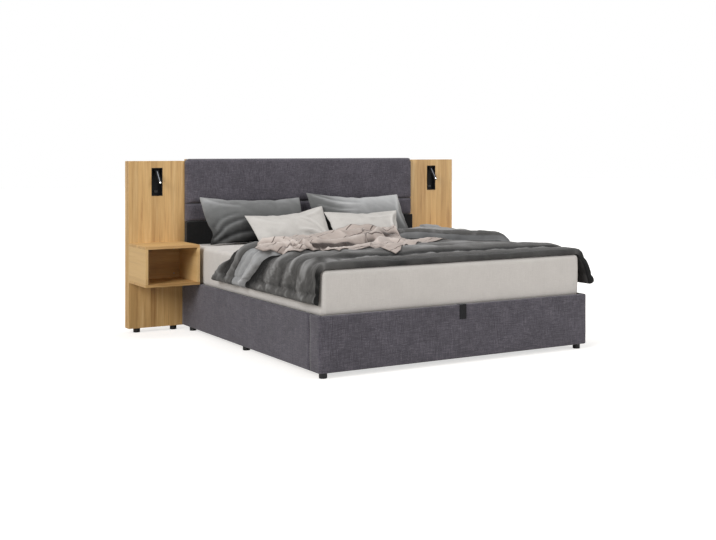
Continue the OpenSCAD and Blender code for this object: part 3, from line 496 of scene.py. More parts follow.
def oak(name, turn, streaks=0.55, calm=0.0):
    """Oak with its grain along the axis that turn brings to Z. calm evens out its figure and brings
    it towards a paler oak colour.
    """
    material, tree, shader = new_finish(name, 0.5, Coat_Weight=0.06, Coat_Roughness=0.45)
    at = put(tree, "ShaderNodeMapping", {"Vector": object_place(tree), "Rotation": turn}).outputs[0]
    grain = group_in(tree, OAK, Place=at)
    base = ramp(tree, grain["Figure"], [(0.3, linear(172, 132, 81)), (0.5, linear(199, 161, 105)),
                                        (0.7, linear(214, 181, 129))])
    base = mixed(tree, calm, base, linear(210, 177, 124))
    even = calm * 0.08
    stave = ramp(tree, grain["Stave"],
                 [(0.0, (0.86 + even, 0.83 + even, 0.78 + even)), (0.5, (0.97, 0.97, 0.96)),
                  (1.0, (1.08 - even, 1.09 - even, 1.1 - even))], smooth=False)
    colour = mixed(tree, 1.0, base, stave, "MULTIPLY")
    lines = ramp(tree, grain["Streak"], [(0.34, (0.78, 0.72, 0.64)), (0.52, (1.0, 1.0, 1.0))])
    colour = mixed(tree, streaks, colour, lines, "MULTIPLY")
    colour = mixed(tree, times(tree, grain["Pore"], 0.35), colour, linear(120, 80, 45))
    tree.links.new(colour, shader.inputs["Base Color"])
    rough = plus(tree, times(tree, grain["Figure"], 0.2), 0.4)
    tree.links.new(rough, shader.inputs["Roughness"])
    bumped(tree, shader, minus(tree, grain["Streak"], grain["Pore"]), 0.0005, 0.5)
    return material


# Painted shade and highlight that the cloth pieces carry as a point attribute.
def painted_shade_and_highlight(tree):
    return put(tree, "ShaderNodeAttribute", attribute_name="painted_shade_and_highlight").outputs["Fac"]


def cotton(name, painted_fold_shadow, plain, painted_ridge_highlight, crinkle):
    """Cotton with painted shadow in its folds, its plain colour where it lies flat and painted
    highlight on its ridges.
    """
    material, tree, shader = new_finish(name, 0.88, Sheen_Weight=0.06, Sheen_Roughness=0.45,
                                        Specular_IOR_Level=0.25)
    cloth = group_in(tree, CRINKLE, Place=cloth_place(tree), Crinkle=crinkle)
    worn = times(tree, minus(tree, cloth["Tone"], 0.5), 0.22)
    # The painted shade attribute picks painted shadow, plain colour or painted highlight.
    colour = ramp(tree, plus(tree, painted_shade_and_highlight(tree), worn),
                  [(0.0, linear(*painted_fold_shadow)), (0.5, linear(*plain)), (1.0, linear(*painted_ridge_highlight))],
                  smooth=False)
    thread = ramp(tree, plus(tree, times(tree, cloth["Thread"], 0.5), 0.5),
                  [(0.0, grey(0.94)), (1.0, grey(1.03))])
    tree.links.new(mixed(tree, 1.0, colour, thread, "MULTIPLY"), shader.inputs["Base Color"])
    bumped(tree, shader, cloth["Height"], 0.003, 0.5)
    return material


def striped_throw(name):
    """Taupe cloth with thin dark stripes, with painted shade in its hollows and painted highlight
    on its ridges.
    """
    material, tree, shader = new_finish(name, 0.92, Sheen_Weight=0.2, Sheen_Roughness=0.4,
                                        Specular_IOR_Level=0.2)
    at = cloth_place(tree)
    cloth = group_in(tree, CRINKLE, Place=at, Crinkle=34.0)
    across = axes(tree, at)[0]
    wobble = times(tree, cloud(tree, at, 9.0, 2.0), 0.012)
    stripe = maths(tree, "PINGPONG", plus(tree, across, wobble), 0.045)
    line = ramp(tree, times(tree, stripe, 20.0),
                [(0.0, grey(0.9)), (0.035, grey(0.9)), (0.075, grey(0))], smooth=False)
    worn = times(tree, minus(tree, cloth["Tone"], 0.5), 0.3)
    # Painted shade and highlight from the cloth's attribute, over the taupe ground colour.
    ground = ramp(tree, plus(tree, painted_shade_and_highlight(tree), worn),
                  [(0.0, linear(52, 42, 38)), (0.5, linear(172, 160, 153)),
                   (1.0, linear(214, 205, 199))], smooth=False)
    colour = mixed(tree, line, ground, linear(70, 58, 54))
    tree.links.new(colour, shader.inputs["Base Color"])
    bumped(tree, shader, cloth["Height"], 0.0022, 0.6)
    return material


def plain_finish(name, dark, light, roughness, grain=60.0, bump=0.0002, **settings):
    """Moulded, coated or boarded surface with a faint uneven tone."""
    material, tree, shader = new_finish(name, roughness, **settings)
    at = object_place(tree)
    tone = cloud(tree, at, grain, 4.0, 0.6)
    colour = ramp(tree, tone, [(0.3, linear(*dark)), (0.7, linear(*light))])
    tree.links.new(colour, shader.inputs["Base Color"])
    rough = plus(tree, times(tree, cloud(tree, at, grain * 0.4), 0.18), roughness - 0.09)
    tree.links.new(rough, shader.inputs["Roughness"])
    bumped(tree, shader, tone, bump, 0.5)
    return material


def chipboard(name):
    """Raw pressed board with chips of three tones."""
    material, tree, shader = new_finish(name, 0.8)
    at = object_place(tree)
    chips = put(tree, "ShaderNodeTexVoronoi",
                {"Vector": stretched(tree, at, 1, 1, 1.6), "Scale": 230.0})
    tone = put(tree, "ShaderNodeSeparateColor", {0: chips.outputs["Color"]}).outputs[0]
    colour = ramp(tree, tone, [(0.0, linear(150, 118, 80)), (0.5, linear(190, 160, 118)),
                               (1.0, linear(214, 190, 150))])
    tree.links.new(colour, shader.inputs["Base Color"])
    bumped(tree, shader, chips.outputs["Distance"], 0.0006, 0.4)
    return material


def lit_lens(name):
    material, tree, shader = new_finish(name, 0.3, Emission_Strength=2.2)
    colour = ramp(tree, cloud(tree, object_place(tree), 300.0),
                  [(0.3, (1.0, 0.97, 0.9)), (0.7, (1, 1, 0.96))])
    tree.links.new(colour, shader.inputs["Base Color"])
    tree.links.new(colour, shader.inputs["Emission Color"])
    return material


# Screen colours from dark to light. After them a cotton has the size of its crinkle, and a
# plain finish its roughness, the size of its grain and the depth of its bumps.
GREY_CLOTH = upholstery("melange_upholstery", (55, 52, 60), (81, 78, 86), (114, 110, 118))
DARK_CLOTH = upholstery("charcoal_upholstery", (10, 10, 11), (17, 17, 18), (27, 27, 29))
OAK_UP = oak("oak_grain_up", (0, 0, 0))
OAK_ACROSS = oak("oak_grain_across", (0, math.pi / 2, 0))
OAK_DEEP = oak("oak_grain_front_to_back", (math.pi / 2, 0, 0), streaks=0.2, calm=0.7)
SHEET = upholstery("stretched_sheet", (189, 185, 181), (197, 193, 189), (204, 201, 197), 0.025,
                   0.0004)
# For the cottons the first colour is painted shadow in the folds and the last is painted highlight
# on the ridges.
DUVET = cotton("washed_grey_cotton", (5, 5, 5), (83, 82, 81), (168, 168, 168), 20.0)
DUVET_BACK = cotton("pale_grey_cotton", (24, 24, 25), (150, 151, 152), (200, 201, 203), 24.0)
GREY_CASE = cotton("grey_pillow_cotton", (18, 18, 18), (106, 107, 107), (186, 187, 188), 14.0)
WHITE_CASE = cotton("white_pillow_cotton", (88, 85, 82), (191, 188, 184), (218, 216, 213), 14.0)
THROW = striped_throw("striped_taupe_wool")
BLACK_PLASTIC = plain_finish("black_moulded_plastic", (16, 16, 17), (28, 28, 30), 0.5, 300.0)
LAMP_BLACK = plain_finish("satin_black_lamp_metal", (7, 7, 8), (13, 13, 15), 0.6, 120.0, 0.0001,
                          Specular_IOR_Level=0.15)
ARM_BLACK = plain_finish("satin_black_lamp_arm", (9, 9, 10), (16, 16, 18), 0.62, 200.0, 0.0001,
                         Specular_IOR_Level=0.15)
# Pale strip on the lamp arms: a painted highlight along the black arm's edge.
ARM_EDGE_HIGHLIGHT = plain_finish("lamp_arm_edge_highlight_strip", (112, 116, 124), (142, 146, 154), 0.4, 200.0,
                         0.00005)
STEEL = plain_finish("dark_powder_coat", (44, 45, 48), (62, 63, 66), 0.55, 260.0, 0.0004)
ZINC = plain_finish("zinc_plate", (150, 150, 150), (190, 190, 188), 0.35, 90.0, 0.0001,
                    Metallic=1.0)
CHROME = plain_finish("polished_rod", (200, 202, 205), (222, 223, 225), 0.14, 40.0, 0.00005,
                      Metallic=1.0)
RUBBER = plain_finish("black_rubber", (20, 20, 20), (34, 34, 34), 0.85, 180.0, 0.0003)
WEBBING = upholstery("black_webbing", (14, 14, 16), (24, 24, 27), (38, 38, 42))
CHIPBOARD = chipboard("raw_chipboard")
WHITE_BOARD = plain_finish("white_melamine", (226, 224, 219), (236, 234, 230), 0.45, 30.0, 0.0001)
BIRCH = oak("birch_slat_grain", (0, math.pi / 2, 0))
LENS = lit_lens("lit_lamp_lens")


# ---------- stitches, made by geometry nodes ----------
def socket_id(tree, label):
    return next(item.identifier for item in tree.interface.items_tree
                if item.item_type == "SOCKET" and item.name == label and item.in_out == "INPUT")


def stitch_tree():
    """Short rounded stitches along a curve."""
    tree = bpy.data.node_groups.new("stitch_row", "GeometryNodeTree")
    tree.interface.new_socket("Curve", in_out="INPUT", socket_type="NodeSocketGeometry")
    for label, value in (("Pitch", 0.012), ("Length", 0.008), ("Thickness", 0.0014)):
        socket = tree.interface.new_socket(label, in_out="INPUT", socket_type="NodeSocketFloat")
        socket.default_value = value
    tree.interface.new_socket("Thread", in_out="INPUT", socket_type="NodeSocketMaterial")
    tree.interface.new_socket("Stitches", in_out="OUTPUT", socket_type="NodeSocketGeometry")
    given = tree.nodes.new("NodeGroupInput").outputs
    points = put(tree, "GeometryNodeCurveToPoints",
                 {"Curve": given["Curve"], "Length": given["Pitch"]}, mode="LENGTH")
    half = times(tree, given["Length"], 0.5)
    size = put(tree, "ShaderNodeCombineXYZ",
               {0: half, 1: given["Thickness"], 2: given["Thickness"]})
    bead = put(tree, "GeometryNodeMeshUVSphere", {"Segments": 6, "Rings": 4, "Radius": 1.0})
    turn = put(tree, "FunctionNodeAlignEulerToVector", {"Vector": points.outputs["Tangent"]},
               axis="X")
    spread = put(tree, "GeometryNodeInstanceOnPoints",
                 {"Points": points.outputs["Points"], "Instance": bead.outputs["Mesh"],
                  "Rotation": turn.outputs[0], "Scale": size.outputs[0]})
    real = put(tree, "GeometryNodeRealizeInstances", {0: spread.outputs[0]})
    painted = put(tree, "GeometryNodeSetMaterial",
                  {"Geometry": real.outputs[0], "Material": given["Thread"]})
    leave = tree.nodes.new("NodeGroupOutput")
    tree.links.new(painted.outputs[0], leave.inputs[0])
    return tree


STITCHES = stitch_tree()


def stitched(name, paths, thread, pitch, length, thickness):
    """Rows of stitches along paths, as one plain mesh."""
    curve = bpy.data.curves.new(name, "CURVE")
    curve.dimensions = "3D"
    for path in paths:
        spline = curve.splines.new("POLY")
        spline.points.add(len(path) - 1)
        for point, p in zip(spline.points, path):
            point.co = (*p, 1)
    holder = bpy.data.objects.new(name + "_path", curve)
    scene.collection.objects.link(holder)
    modifier = holder.modifiers.new("row", "NODES")
    modifier.node_group = STITCHES
    for label, value in (("Pitch", pitch), ("Length", length), ("Thickness", thickness),
                         ("Thread", thread)):
        modifier[socket_id(STITCHES, label)] = value
    graph = bpy.context.evaluated_depsgraph_get()
    mesh = bpy.data.meshes.new_from_object(holder.evaluated_get(graph))
    bpy.data.objects.remove(holder)
    mesh.name = name
    return shown(name, mesh, thread)


# ---------- rail covers ----------
def cover_profile(low, high, inner, thick, rounding=0.008, turn=0.004):
    """Closed (out, up) outline of a cover: outer face, turned in at its top and bottom."""
    outline = [(-inner, low)]
    for k in range(7):
        a = math.pi / 2 * k / 6
        outline.append((-rounding * (1 - math.sin(a)), low + rounding * (1 - math.cos(a))))
    for z in np.linspace(low + rounding, high - rounding, 16)[1:-1]:
        outline.append((0.0, float(z)))
    for k in range(7):
        a = math.pi / 2 * (1 - k / 6)
        outline.append((-rounding * (1 - math.sin(a)), high - rounding * (1 - math.cos(a))))
    outline += [(-inner, high), (-inner, high - turn), (-thick, high - turn), (-thick, low + turn),
                (-inner, low + turn)]
    return outline


def build_rail_covers():
    """Covers of the side rails and of the foot rail with its corners, and the seam's stitches."""
    profile = cover_profile(BOX_BOTTOM, BOX_TOP, RAIL_THICK, COVER_THICK)
    y_seam = COVER_HIGH.y
    for side, label in ((-1, "left"), (1, "right")):
        low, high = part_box(label + "_rail_cover")
        ys = np.linspace(low.y + SEAM_GAP, high.y, 60)
        piece = sweep(label + "_side_rail_cloth", profile, [(side * RAIL_OUT, y) for y in ys],
                      [(side, 0)] * len(ys), GREY_CLOTH, ripple_by=COVER_RIPPLE, seed=11 + side)
        place(piece, "bed_frame", "upholstery", label + "_rail_cover")
    corner, steps = 0.012, 6

    def round_corner(side, angles):
        return [((side * (RAIL_OUT - corner * (1 - math.cos(a))),
                  FOOT_OUT + corner * (1 - math.sin(a))),
                 (side * math.cos(a), -math.sin(a))) for a in angles]

    path = [((-RAIL_OUT, y), (-1, 0))
            for y in np.linspace(y_seam - SEAM_GAP, FOOT_OUT + corner, steps)]
    path += round_corner(-1, [math.pi / 2 * k / steps for k in range(1, steps)])
    path += [((x, FOOT_OUT), (0, -1))
             for x in np.linspace(-RAIL_OUT + corner, RAIL_OUT - corner, 70)]
    path += round_corner(1, [math.pi / 2 * (1 - k / steps) for k in range(1, steps)])
    path += [((RAIL_OUT, y), (1, 0))
             for y in np.linspace(FOOT_OUT + corner, y_seam - SEAM_GAP, steps)]
    places, outwards = zip(*path)
    piece = sweep("foot_rail_cloth", profile, places, outwards, GREY_CLOTH,
                  ripple_by=COVER_RIPPLE, seed=5)
    place(piece, "bed_frame", "upholstery", "foot_rail_cover")
    rows = []
    for side in (-1, 1):
        for offset in (-0.006, 0.006):
            rows.append([(side * (RAIL_OUT + 0.0004), y_seam + offset, z)
                         for z in np.linspace(BOX_BOTTOM + 0.01, BOX_TOP - 0.01, 12)])
    seam = stitched("cover_seam_stitches", rows, DARK_CLOTH,
                    pitch=0.009, length=0.006, thickness=0.0009)
    place(seam, "bed_frame", "upholstery")


# ---------- headboard cushions ----------
def build_cushion(name, node, seed, crown=0.007, corner=0.006):
    """Long flat cushion with soft edges, a slight crown and faint pulls in its cover.
    corner is the radius of its two upper corners."""
    low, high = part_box(node)
    end_round, rounding = 0.040, 0.019
    thick = high.y - low.y
    cols, rows = 96, 22

    def spread(lo, hi, count, radius):
        edge = np.array([0.0, 0.04, 0.12, 0.24, 0.4, 0.62, 1.0]) * radius
        middle = np.linspace(lo + radius, hi - radius, count)[1:-1]
        return np.concatenate([lo + edge, middle, hi - edge[::-1]])
    xs, zs = spread(low.x, high.x, cols, end_round), spread(low.z, high.z, rows, rounding)
    gx, gz = np.meshgrid(xs, zs)
    end_swell = edge_swell(np.minimum(gx - low.x, high.x - gx), end_round)
    round_off = end_swell * edge_swell(np.minimum(gz - low.z, high.z - gz), rounding)
    u = (gx - low.x) / (high.x - low.x) * 2 - 1
    v = (gz - low.z) / (high.z - low.z) * 2 - 1
    bulge = crown * (1 - u ** 8) * (1 - v ** 2) ** 0.7
    place_2d = np.stack([gx, gz], -1)
    pulls = ripple(place_2d * [1, 2.2], seed, 0.22) * 0.0011 \
        + ripple(place_2d, seed + 3, 0.07) * 0.0004
    front = high.y - (thick - rounding) - rounding * round_off - bulge - pulls * round_off
    front = front + (thick - rounding) * 0.7 * (1 - end_swell)
    a = np.clip(corner - np.minimum(gx - low.x, high.x - gx), 0, None)
    b = np.clip(corner - (high.z - gz), 0, None)
    pull_in = np.maximum(a, b) / np.maximum(np.hypot(a, b), 1e-9)
    pull_in = np.where((a > 0) & (b > 0), 1 - pull_in, 0)
    gx = gx - np.sign(gx) * a * pull_in
    gz = gz - b * pull_in
    top = np.stack([gx, front, gz], -1)
    back = np.stack([gx, np.full_like(gx, high.y), gz], -1)
    uv = np.stack([gx, gz], -1)
    piece = cloth_shell(name, top, back, GREY_CLOTH, uv)
    place(piece, "bed_frame", "upholstery", node)


# ---------- mattress ----------
def build_mattress():
    """Mattress in a stretched fitted sheet: soft corners, slightly bowed sides."""
    w, l = MATTRESS_HALF, (MATTRESS_HEAD - MATTRESS_FOOT) / 2
    mid_y = (MATTRESS_HEAD + MATTRESS_FOOT) / 2
    low, high = MATTRESS_LOW.z, MATTRESS_HIGH.z
    radius, edge = 0.034, 0.03

    def outline(inset):
        """Round-cornered outline, drawn in by inset."""
        r = max(radius - inset, 0.012)
        points = []

        def at(quarter, angle):
            sx, sy = ((1, 1), (-1, 1), (-1, -1), (1, -1))[quarter % 4]
            return ((w - inset - r) * sx + r * math.cos(angle),
                    (l - inset - r) * sy + r * math.sin(angle))

        for quarter in range(4):
            points += [at(quarter, math.pi / 2 * (quarter + k / 9)) for k in range(10)]
            start, end = points[-1], at(quarter + 1, math.pi / 2 * (quarter + 1))
            points += [tuple(p + (q - p) * k / 30 for p, q in zip(start, end))
                       for k in range(1, 30)]
        return points

    levels = [(0.30, low), (0.12, low), (edge, low)]
    levels += [(edge * (1 - math.sin(a)), low + edge * (1 - math.cos(a)))
               for a in np.linspace(0, math.pi / 2, 6)[1:]]
    levels += [(0.0, z) for z in np.linspace(low + edge, high - edge, 12)[1:-1]]
    levels += [(edge * (1 - math.cos(a)), high - edge * (1 - math.sin(a)))
               for a in np.linspace(0, math.pi / 2, 7)]
    levels += [(inset, high) for inset in (0.06, 0.11, 0.17, 0.25, 0.36, 0.5, 0.7)]
    grid = np.array([[(x, mid_y + y, z) for x, y in outline(i)] for i, z in levels])
    height = (grid[..., 2] - low) / (high - low)
    side = np.array([float(i < 0.02) for i, _ in levels])[:, None]
    outward = np.stack([grid[0, :, 0] / w, (grid[0, :, 1] - mid_y) / l], -1)
    outward /= np.linalg.norm(outward, axis=1)[:, None]
    # The sides bow out a little, and the sheet wanders on them and on the flat top
    bow = side * 0.0022 * np.sin(np.pi * height) \
        + side * ripple(grid * [1, 1, 0.5], 41, 0.3) * 0.0014
    grid[..., 0] += bow * outward[None, :, 0]
    grid[..., 1] += bow * outward[None, :, 1]
    flat_top = np.array([float(z >= high - 1e-6 and i > 0.035) for i, z in levels])[:, None]
    grid[..., 2] += flat_top * (ripple(grid[..., :2], 42, 0.25) * 0.0008 - 0.0004)
    piece = make_piece("mattress_in_sheet", grid.reshape(-1, 3), tube_faces(*grid.shape[:2]), SHEET)
    place(piece, "platform", "mattress_cover", "mattress")


# ---------- pillows ----------
PILLOW_COLS, PILLOW_ROWS = 46, 26
CASE_SLACK = (1.03, 1.05)
# Share of the cloth solver's outline; the rest is the cut of the case
SIM_SHARE = 0.35
CASE_CLOTH = dict(quality=6, mass=0.2, tension_stiffness=12, compression_stiffness=12,
                  shear_stiffness=6, bending_stiffness=0.15, use_pressure=True,
                  uniform_pressure_force=3.2)
FRAMES = 22


def pillow_case(width, length):
    """Two flat sheets joined round their rim: points, faces and flat places."""
    u, v = np.meshgrid(np.linspace(-1, 1, PILLOW_COLS), np.linspace(-1, 1, PILLOW_ROWS))
    x, y = u * width / 2, v * length / 2
    rise = 0.012 * (1 - u ** 4) * (1 - v ** 4)
    top = np.stack([x, y, rise], -1).reshape(-1, 3)
    inner = ((np.abs(u) < 1) & (np.abs(v) < 1)).ravel()
    under = top[inner] * [1, 1, -1]
    index = np.arange(len(top))
    index[inner] = len(top) + np.arange(inner.sum())
    upper = grid_faces(PILLOW_ROWS, PILLOW_COLS)
    lower = [[int(index[i]) for i in f[::-1]] for f in upper]
    flat = np.concatenate([top[:, :2], under[:, :2] + [width * 1.1, 0]])
    return np.concatenate([top, under]), upper + lower, flat


def stuffed(name, width, length, thick):
    """Pillow blown up from its flat case by the cloth solver, then brought to its thickness."""
    verts, faces, flat = pillow_case(width * CASE_SLACK[0], length * CASE_SLACK[1])
    obj = make_piece(name + "_case", verts, faces, WHITE_CASE)
    cloth = obj.modifiers.new("stuffing", "CLOTH")
    for key, value in CASE_CLOTH.items():
        setattr(cloth.settings, key, value)
    cloth.settings.effector_weights.gravity = 0
    cloth.collision_settings.use_collision = False
    cloth.point_cache.frame_start, cloth.point_cache.frame_end = 1, FRAMES
    for number in range(1, FRAMES + 1):
        scene.frame_set(number)
    graph = bpy.context.evaluated_depsgraph_get()
    mesh = obj.evaluated_get(graph).data
    made = np.zeros(len(mesh.vertices) * 3)
    mesh.vertices.foreach_get("co", made)
    made = made.reshape(-1, 3)
    bpy.data.objects.remove(obj)
    scene.frame_set(1)
    low, high = made.min(0), made.max(0)
    made -= (low + high) / 2
    made *= [width, length, thick] / (high - low)
    made[:, :2] = SIM_SHARE * made[:, :2] + (1 - SIM_SHARE) * verts[:, :2] / CASE_SLACK
    verts = made
    return verts, faces, flat


def turned(verts, lean, roll, turn):
    """Points turned about X, Y and Z, in degrees."""
    a, b, c = (math.radians(x) for x in (lean, roll, turn))
    rx = np.array([[1, 0, 0], [0, math.cos(a), -math.sin(a)], [0, math.sin(a), math.cos(a)]])
    ry = np.array([[math.cos(b), 0, math.sin(b)], [0, 1, 0], [-math.sin(b), 0, math.cos(b)]])
    rz = np.array([[math.cos(c), -math.sin(c), 0], [math.sin(c), math.cos(c), 0], [0, 0, 1]])
    return verts @ (rz @ ry @ rx).T


# Each pillow: middle x, gap from headboard, lean, roll, turn, width, length, thickness, finish
PILLOWS = {
    "left_grey_pillow": (-0.466, 0.230, 60, 1.4, 0.0, 0.765, 0.372, 0.108, GREY_CASE),
    "right_grey_pillow": (0.346, 0.230, 60, 2.0, 0.0, 0.777, 0.378, 0.108, GREY_CASE),
    "left_white_pillow": (-0.240, 0.394, 45, -3.0, 3.0, 0.634, 0.297, 0.088, WHITE_CASE),
    "right_white_pillow": (0.338, 0.404, 45, 0.5, -0.5, 0.610, 0.295, 0.088, WHITE_CASE),
}
# Folds in each case, in the pillow's own frame: (start, middle, end, height, half width)
PILLOW_FOLDS = {
    "left_grey_pillow": [((-0.36, 0.03), (-0.24, 0.12), (-0.06, 0.17), 0.016, 0.014),
                         ((-0.35, 0.10), (-0.25, 0.18), (-0.12, 0.21), 0.011, 0.012),
                         ((-0.33, 0.0), (-0.16, 0.06), (0.02, 0.08), 0.012, 0.016),
                         ((-0.36, 0.35), (-0.24, 0.29), (-0.08, 0.28), 0.006, 0.012),
                         ((0.34, 0.02), (0.2, 0.1), (0.1, 0.2), 0.008, 0.018)],
    "right_grey_pillow": [((-0.36, 0.35), (-0.16, 0.27), (0.06, 0.27), 0.010, 0.014),
                          ((-0.34, 0.26), (-0.18, 0.21), (0.0, 0.21), 0.008, 0.012),
                          ((0.37, 0.35), (0.31, 0.2), (0.36, 0.04), 0.010, 0.014),
                          ((-0.34, 0.04), (-0.2, 0.14), (-0.02, 0.18), 0.008, 0.018)],
    "left_white_pillow": [((0.29, 0.01), (0.16, 0.08), (0.02, 0.10), 0.012, 0.010),
                          ((0.29, 0.01), (0.2, 0.14), (0.08, 0.21), 0.010, 0.009),
                          ((0.28, 0.03), (0.12, 0.04), (-0.06, 0.04), 0.008, 0.009),
                          ((0.29, 0.27), (0.2, 0.22), (0.04, 0.21), 0.007, 0.010),
                          ((-0.28, 0.27), (-0.18, 0.18), (-0.05, 0.15), 0.005, 0.012)],
    "right_white_pillow": [((-0.29, 0.02), (-0.16, 0.09), (0.0, 0.12), 0.009, 0.010),
                           ((0.29, 0.28), (0.22, 0.18), (0.25, 0.05), 0.012, 0.011),
                           ((0.27, 0.24), (0.12, 0.2), (-0.02, 0.21), 0.006, 0.010),
                           ((0.27, 0.02), (0.1, 0.08), (-0.04, 0.07), 0.008, 0.010)],
}
# How each case differs from a plain one. In metres: sag of the upper edge between its corners,
# rise of the upper right corner, how far the lower left and lower right corners and the left
# edge above them are drawn in. As painted light and shade: lift brightens or darkens the whole
# case, darker is painted shade towards its left.
PILLOW_SHAPES = {
    "left_grey_pillow": dict(sag=0.0, rise=0, drawn=(0.008, 0.0), pinched=0.036,
                             lift=-0.14, darker=-0.08),
    "right_grey_pillow": dict(sag=0.016, rise=0, drawn=(0.02, -0.035), pinched=0,
                              lift=0.17, darker=0.42),
    "left_white_pillow": dict(sag=0.007, rise=0.026, drawn=(0.02, 0.06), pinched=0),
    "right_white_pillow": dict(sag=0.002, rise=0, drawn=(0.0, 0.085), pinched=0),
}
PILLOW_LIFT = 0.0012
# Points of the finished pillows, for what lies on them
pillow_points = {}


def build_pillows():
    """Pillows in their cases, leaning on the headboard, with folds and painted shade and highlight
    of the folds.
    """
    for number, (name, facts) in enumerate(PILLOWS.items()):
        x, gap, lean, roll, turn, width, length, thick, finish = facts
        shape = PILLOW_SHAPES[name]
        verts, faces, flat = stuffed(name, width, length, thick)
        verts = verts + [0, length / 2, 0]
        u, v = verts[:, 0] / width * 2, verts[:, 1] / length
        front = np.clip(verts[:, 2] / (thick / 2), 0, 1)
        soft = np.clip((1 - np.abs(u) ** 6) * (1 - np.abs(2 * v - 1) ** 6), 0, 1)
        folds = fold_height(verts[:, 0], verts[:, 1], PILLOW_FOLDS[name])
        creases = crumple(verts[:, :2] * [1, 1.6], 60 + 2 * number, 0.16)
        verts[:, 2] += folds * np.sign(verts[:, 2]) * soft * np.where(verts[:, 2] > 0, 1, 0.3)
        waves = ripple(verts[:, :2], 60 + number, 0.16)
        verts[:, 2] += front * soft * (waves * 0.0018 + creases * 0.0010)
        # Painted shade in the folds and creases, painted highlight on the fold ridges.
        shade = 0.5 + np.clip(folds / 0.012, -1, 1) * 0.26 + (creases - 0.35) * 0.05
        if finish is GREY_CASE:
            # Grey cases: painted light towards the top, painted shade towards the lower edge, and
            # the painted lift and left shade.
            shade += 0.72 * (v - 0.60) + shape["lift"] - shape["darker"] * ease((-u - 0.1) / 0.8)
        else:
            # White cases: painted shade along the lower edge, where they meet the mattress.
            shade -= 0.10 * bell(v, 0.25)
        verts[:, 1] -= shape["sag"] * v * v * v * np.clip(1 - u ** 2, 0, 1) ** 1.2
        verts[:, 1] += shape["rise"] * v ** 2 * ease(u)
        left, right = shape["drawn"]
        verts[:, 0] += (np.clip(-u, 0, 1) * left - np.clip(u, 0, 1) * right) * (1 - v)
        verts[:, 0] += shape["pinched"] * bell(v - 0.24, 0.17) * ease((-u - 0.5) / 0.5)
        verts = turned(verts, lean, roll, turn)
        verts += [x, HEADBOARD_FRONT - gap, 0]
        rest = MATTRESS_TOP + PILLOW_LIFT
        verts[:, 2] += rest + 0.0002 - np.percentile(verts[:, 2], 0.5)
        verts[:, 2] = np.where(verts[:, 2] < rest, rest + (verts[:, 2] - rest) * 0.02, verts[:, 2])
        piece = make_piece(name + "_case", verts, faces, finish, flat, tone=shade)
        piece = subdivided(piece)
        points = np.zeros(len(piece.data.vertices) * 3)
        piece.data.vertices.foreach_get("co", points)
        pillow_points[name] = points.reshape(-1, 3)
        slot = "grey_pillow_cloth" if finish is GREY_CASE else "white_pillow_cloth"
        place(piece, "platform", slot, name)


# ---------- duvet ----------
# The duvet lies flat over TOP_HALF, bends over the mattress's edge with radius EDGE_R along ARC
# and hangs by SIDE down to HEM_Z; HALF is its half width along the cloth
EDGE_R = 0.030
TOP_HALF = MATTRESS_HALF - 0.026
ARC = EDGE_R * math.pi / 2
HEM_Z = 0.393
SIDE = MATTRESS_TOP - HEM_Z - EDGE_R
HALF = TOP_HALF + ARC + SIDE
DUVET_FOOT = MATTRESS_FOOT + 0.002
LAYER = 0.026
LAYER_GAP = 0.0006
LYING_Z = MATTRESS_TOP + 0.0009


def duvet_place(s, y):
    """Where the duvet's inner face lies at s across and y along, and its outward direction."""
    a, g = np.abs(s), np.sign(s)
    t = np.clip((a - TOP_HALF) / EDGE_R, 0, math.pi / 2)
    d = np.clip(a - TOP_HALF - ARC, 0, None)
    foot_corner = bell(y - DUVET_FOOT, 0.30)
    flare = np.where(g > 0, 0.035 + 0.045 * foot_corner, 0.012)
    spread = np.where(g > 0, (d / SIDE) ** 0.55, d / SIDE)
    x = g * (np.minimum(a, TOP_HALF) + EDGE_R * np.sin(t) + flare * spread)
    z = LYING_Z - EDGE_R * (1 - np.cos(t)) - d
    return x, z, g * np.sin(t), np.cos(t)


def pressed_thin(s, least):
    """1 on top of the mattress, falling to least where a layer hangs down the left side."""
    return 1 - (1 - least) * ease((-s - TOP_HALF + 0.02) / 0.07)


# Edges of the layers as (distance across, y)
HEAD_EDGE = [(-HALF, 0.40), (-1.02, 0.335), (-0.966, 0.24), (-0.92, 0.13), (-0.88, 0.06),
             (-0.83, 0.07), (-0.775, 0.14), (-0.69, 0.26), (-0.60, 0.38), (-0.5, 0.455),
             (-0.4, 0.492), (0.0, 0.498), (0.70, 0.499), (0.76, 0.53), (0.80, 0.70), (0.845, 0.72),
             (0.875, 0.648), (0.93, 0.635), (HALF, 0.63)]
PALE_EDGE = [(-HALF, -0.10), (-1.037, -0.13), (-0.986, -0.21), (-0.914, -0.31), (-0.87, -0.40),
             (-0.80, -0.43), (-0.72, -0.37), (-0.6, -0.33), (-0.3, -0.22), (0.0, 0.0), (0.3, 0.16),
             (0.42, 0.195), (0.53, 0.13), (0.635, 0.03), (0.78, -0.13), (0.90, -0.255),
             (0.97, -0.31), (HALF, -0.34)]
UPPER_EDGE = [(-HALF, 0.07), (-0.987, 0.04), (-0.926, -0.03), (-0.885, -0.09), (-0.84, -0.19),
              (-0.74, -0.19), (-0.5, -0.06), (-0.3, 0.02), (0.0, 0.12), (0.3, 0.225),
              (0.42, 0.245), (0.53, 0.185), (0.635, 0.085), (0.78, -0.085), (0.90, -0.215),
              (0.97, -0.275), (HALF, -0.31)]
# Line along which the foot end is gathered into a roll
ROLL_LINE = [(-HALF, -1.01), (-0.98, -1.01), (-0.94, -0.99), (-0.90, -0.965), (-0.83, -0.93),
             (-0.64, -0.85), (-0.38, -0.80), (-0.06, -0.79), (0.37, -0.79), (0.72, -0.80),
             (0.87, -0.88), (HALF, -0.93)]

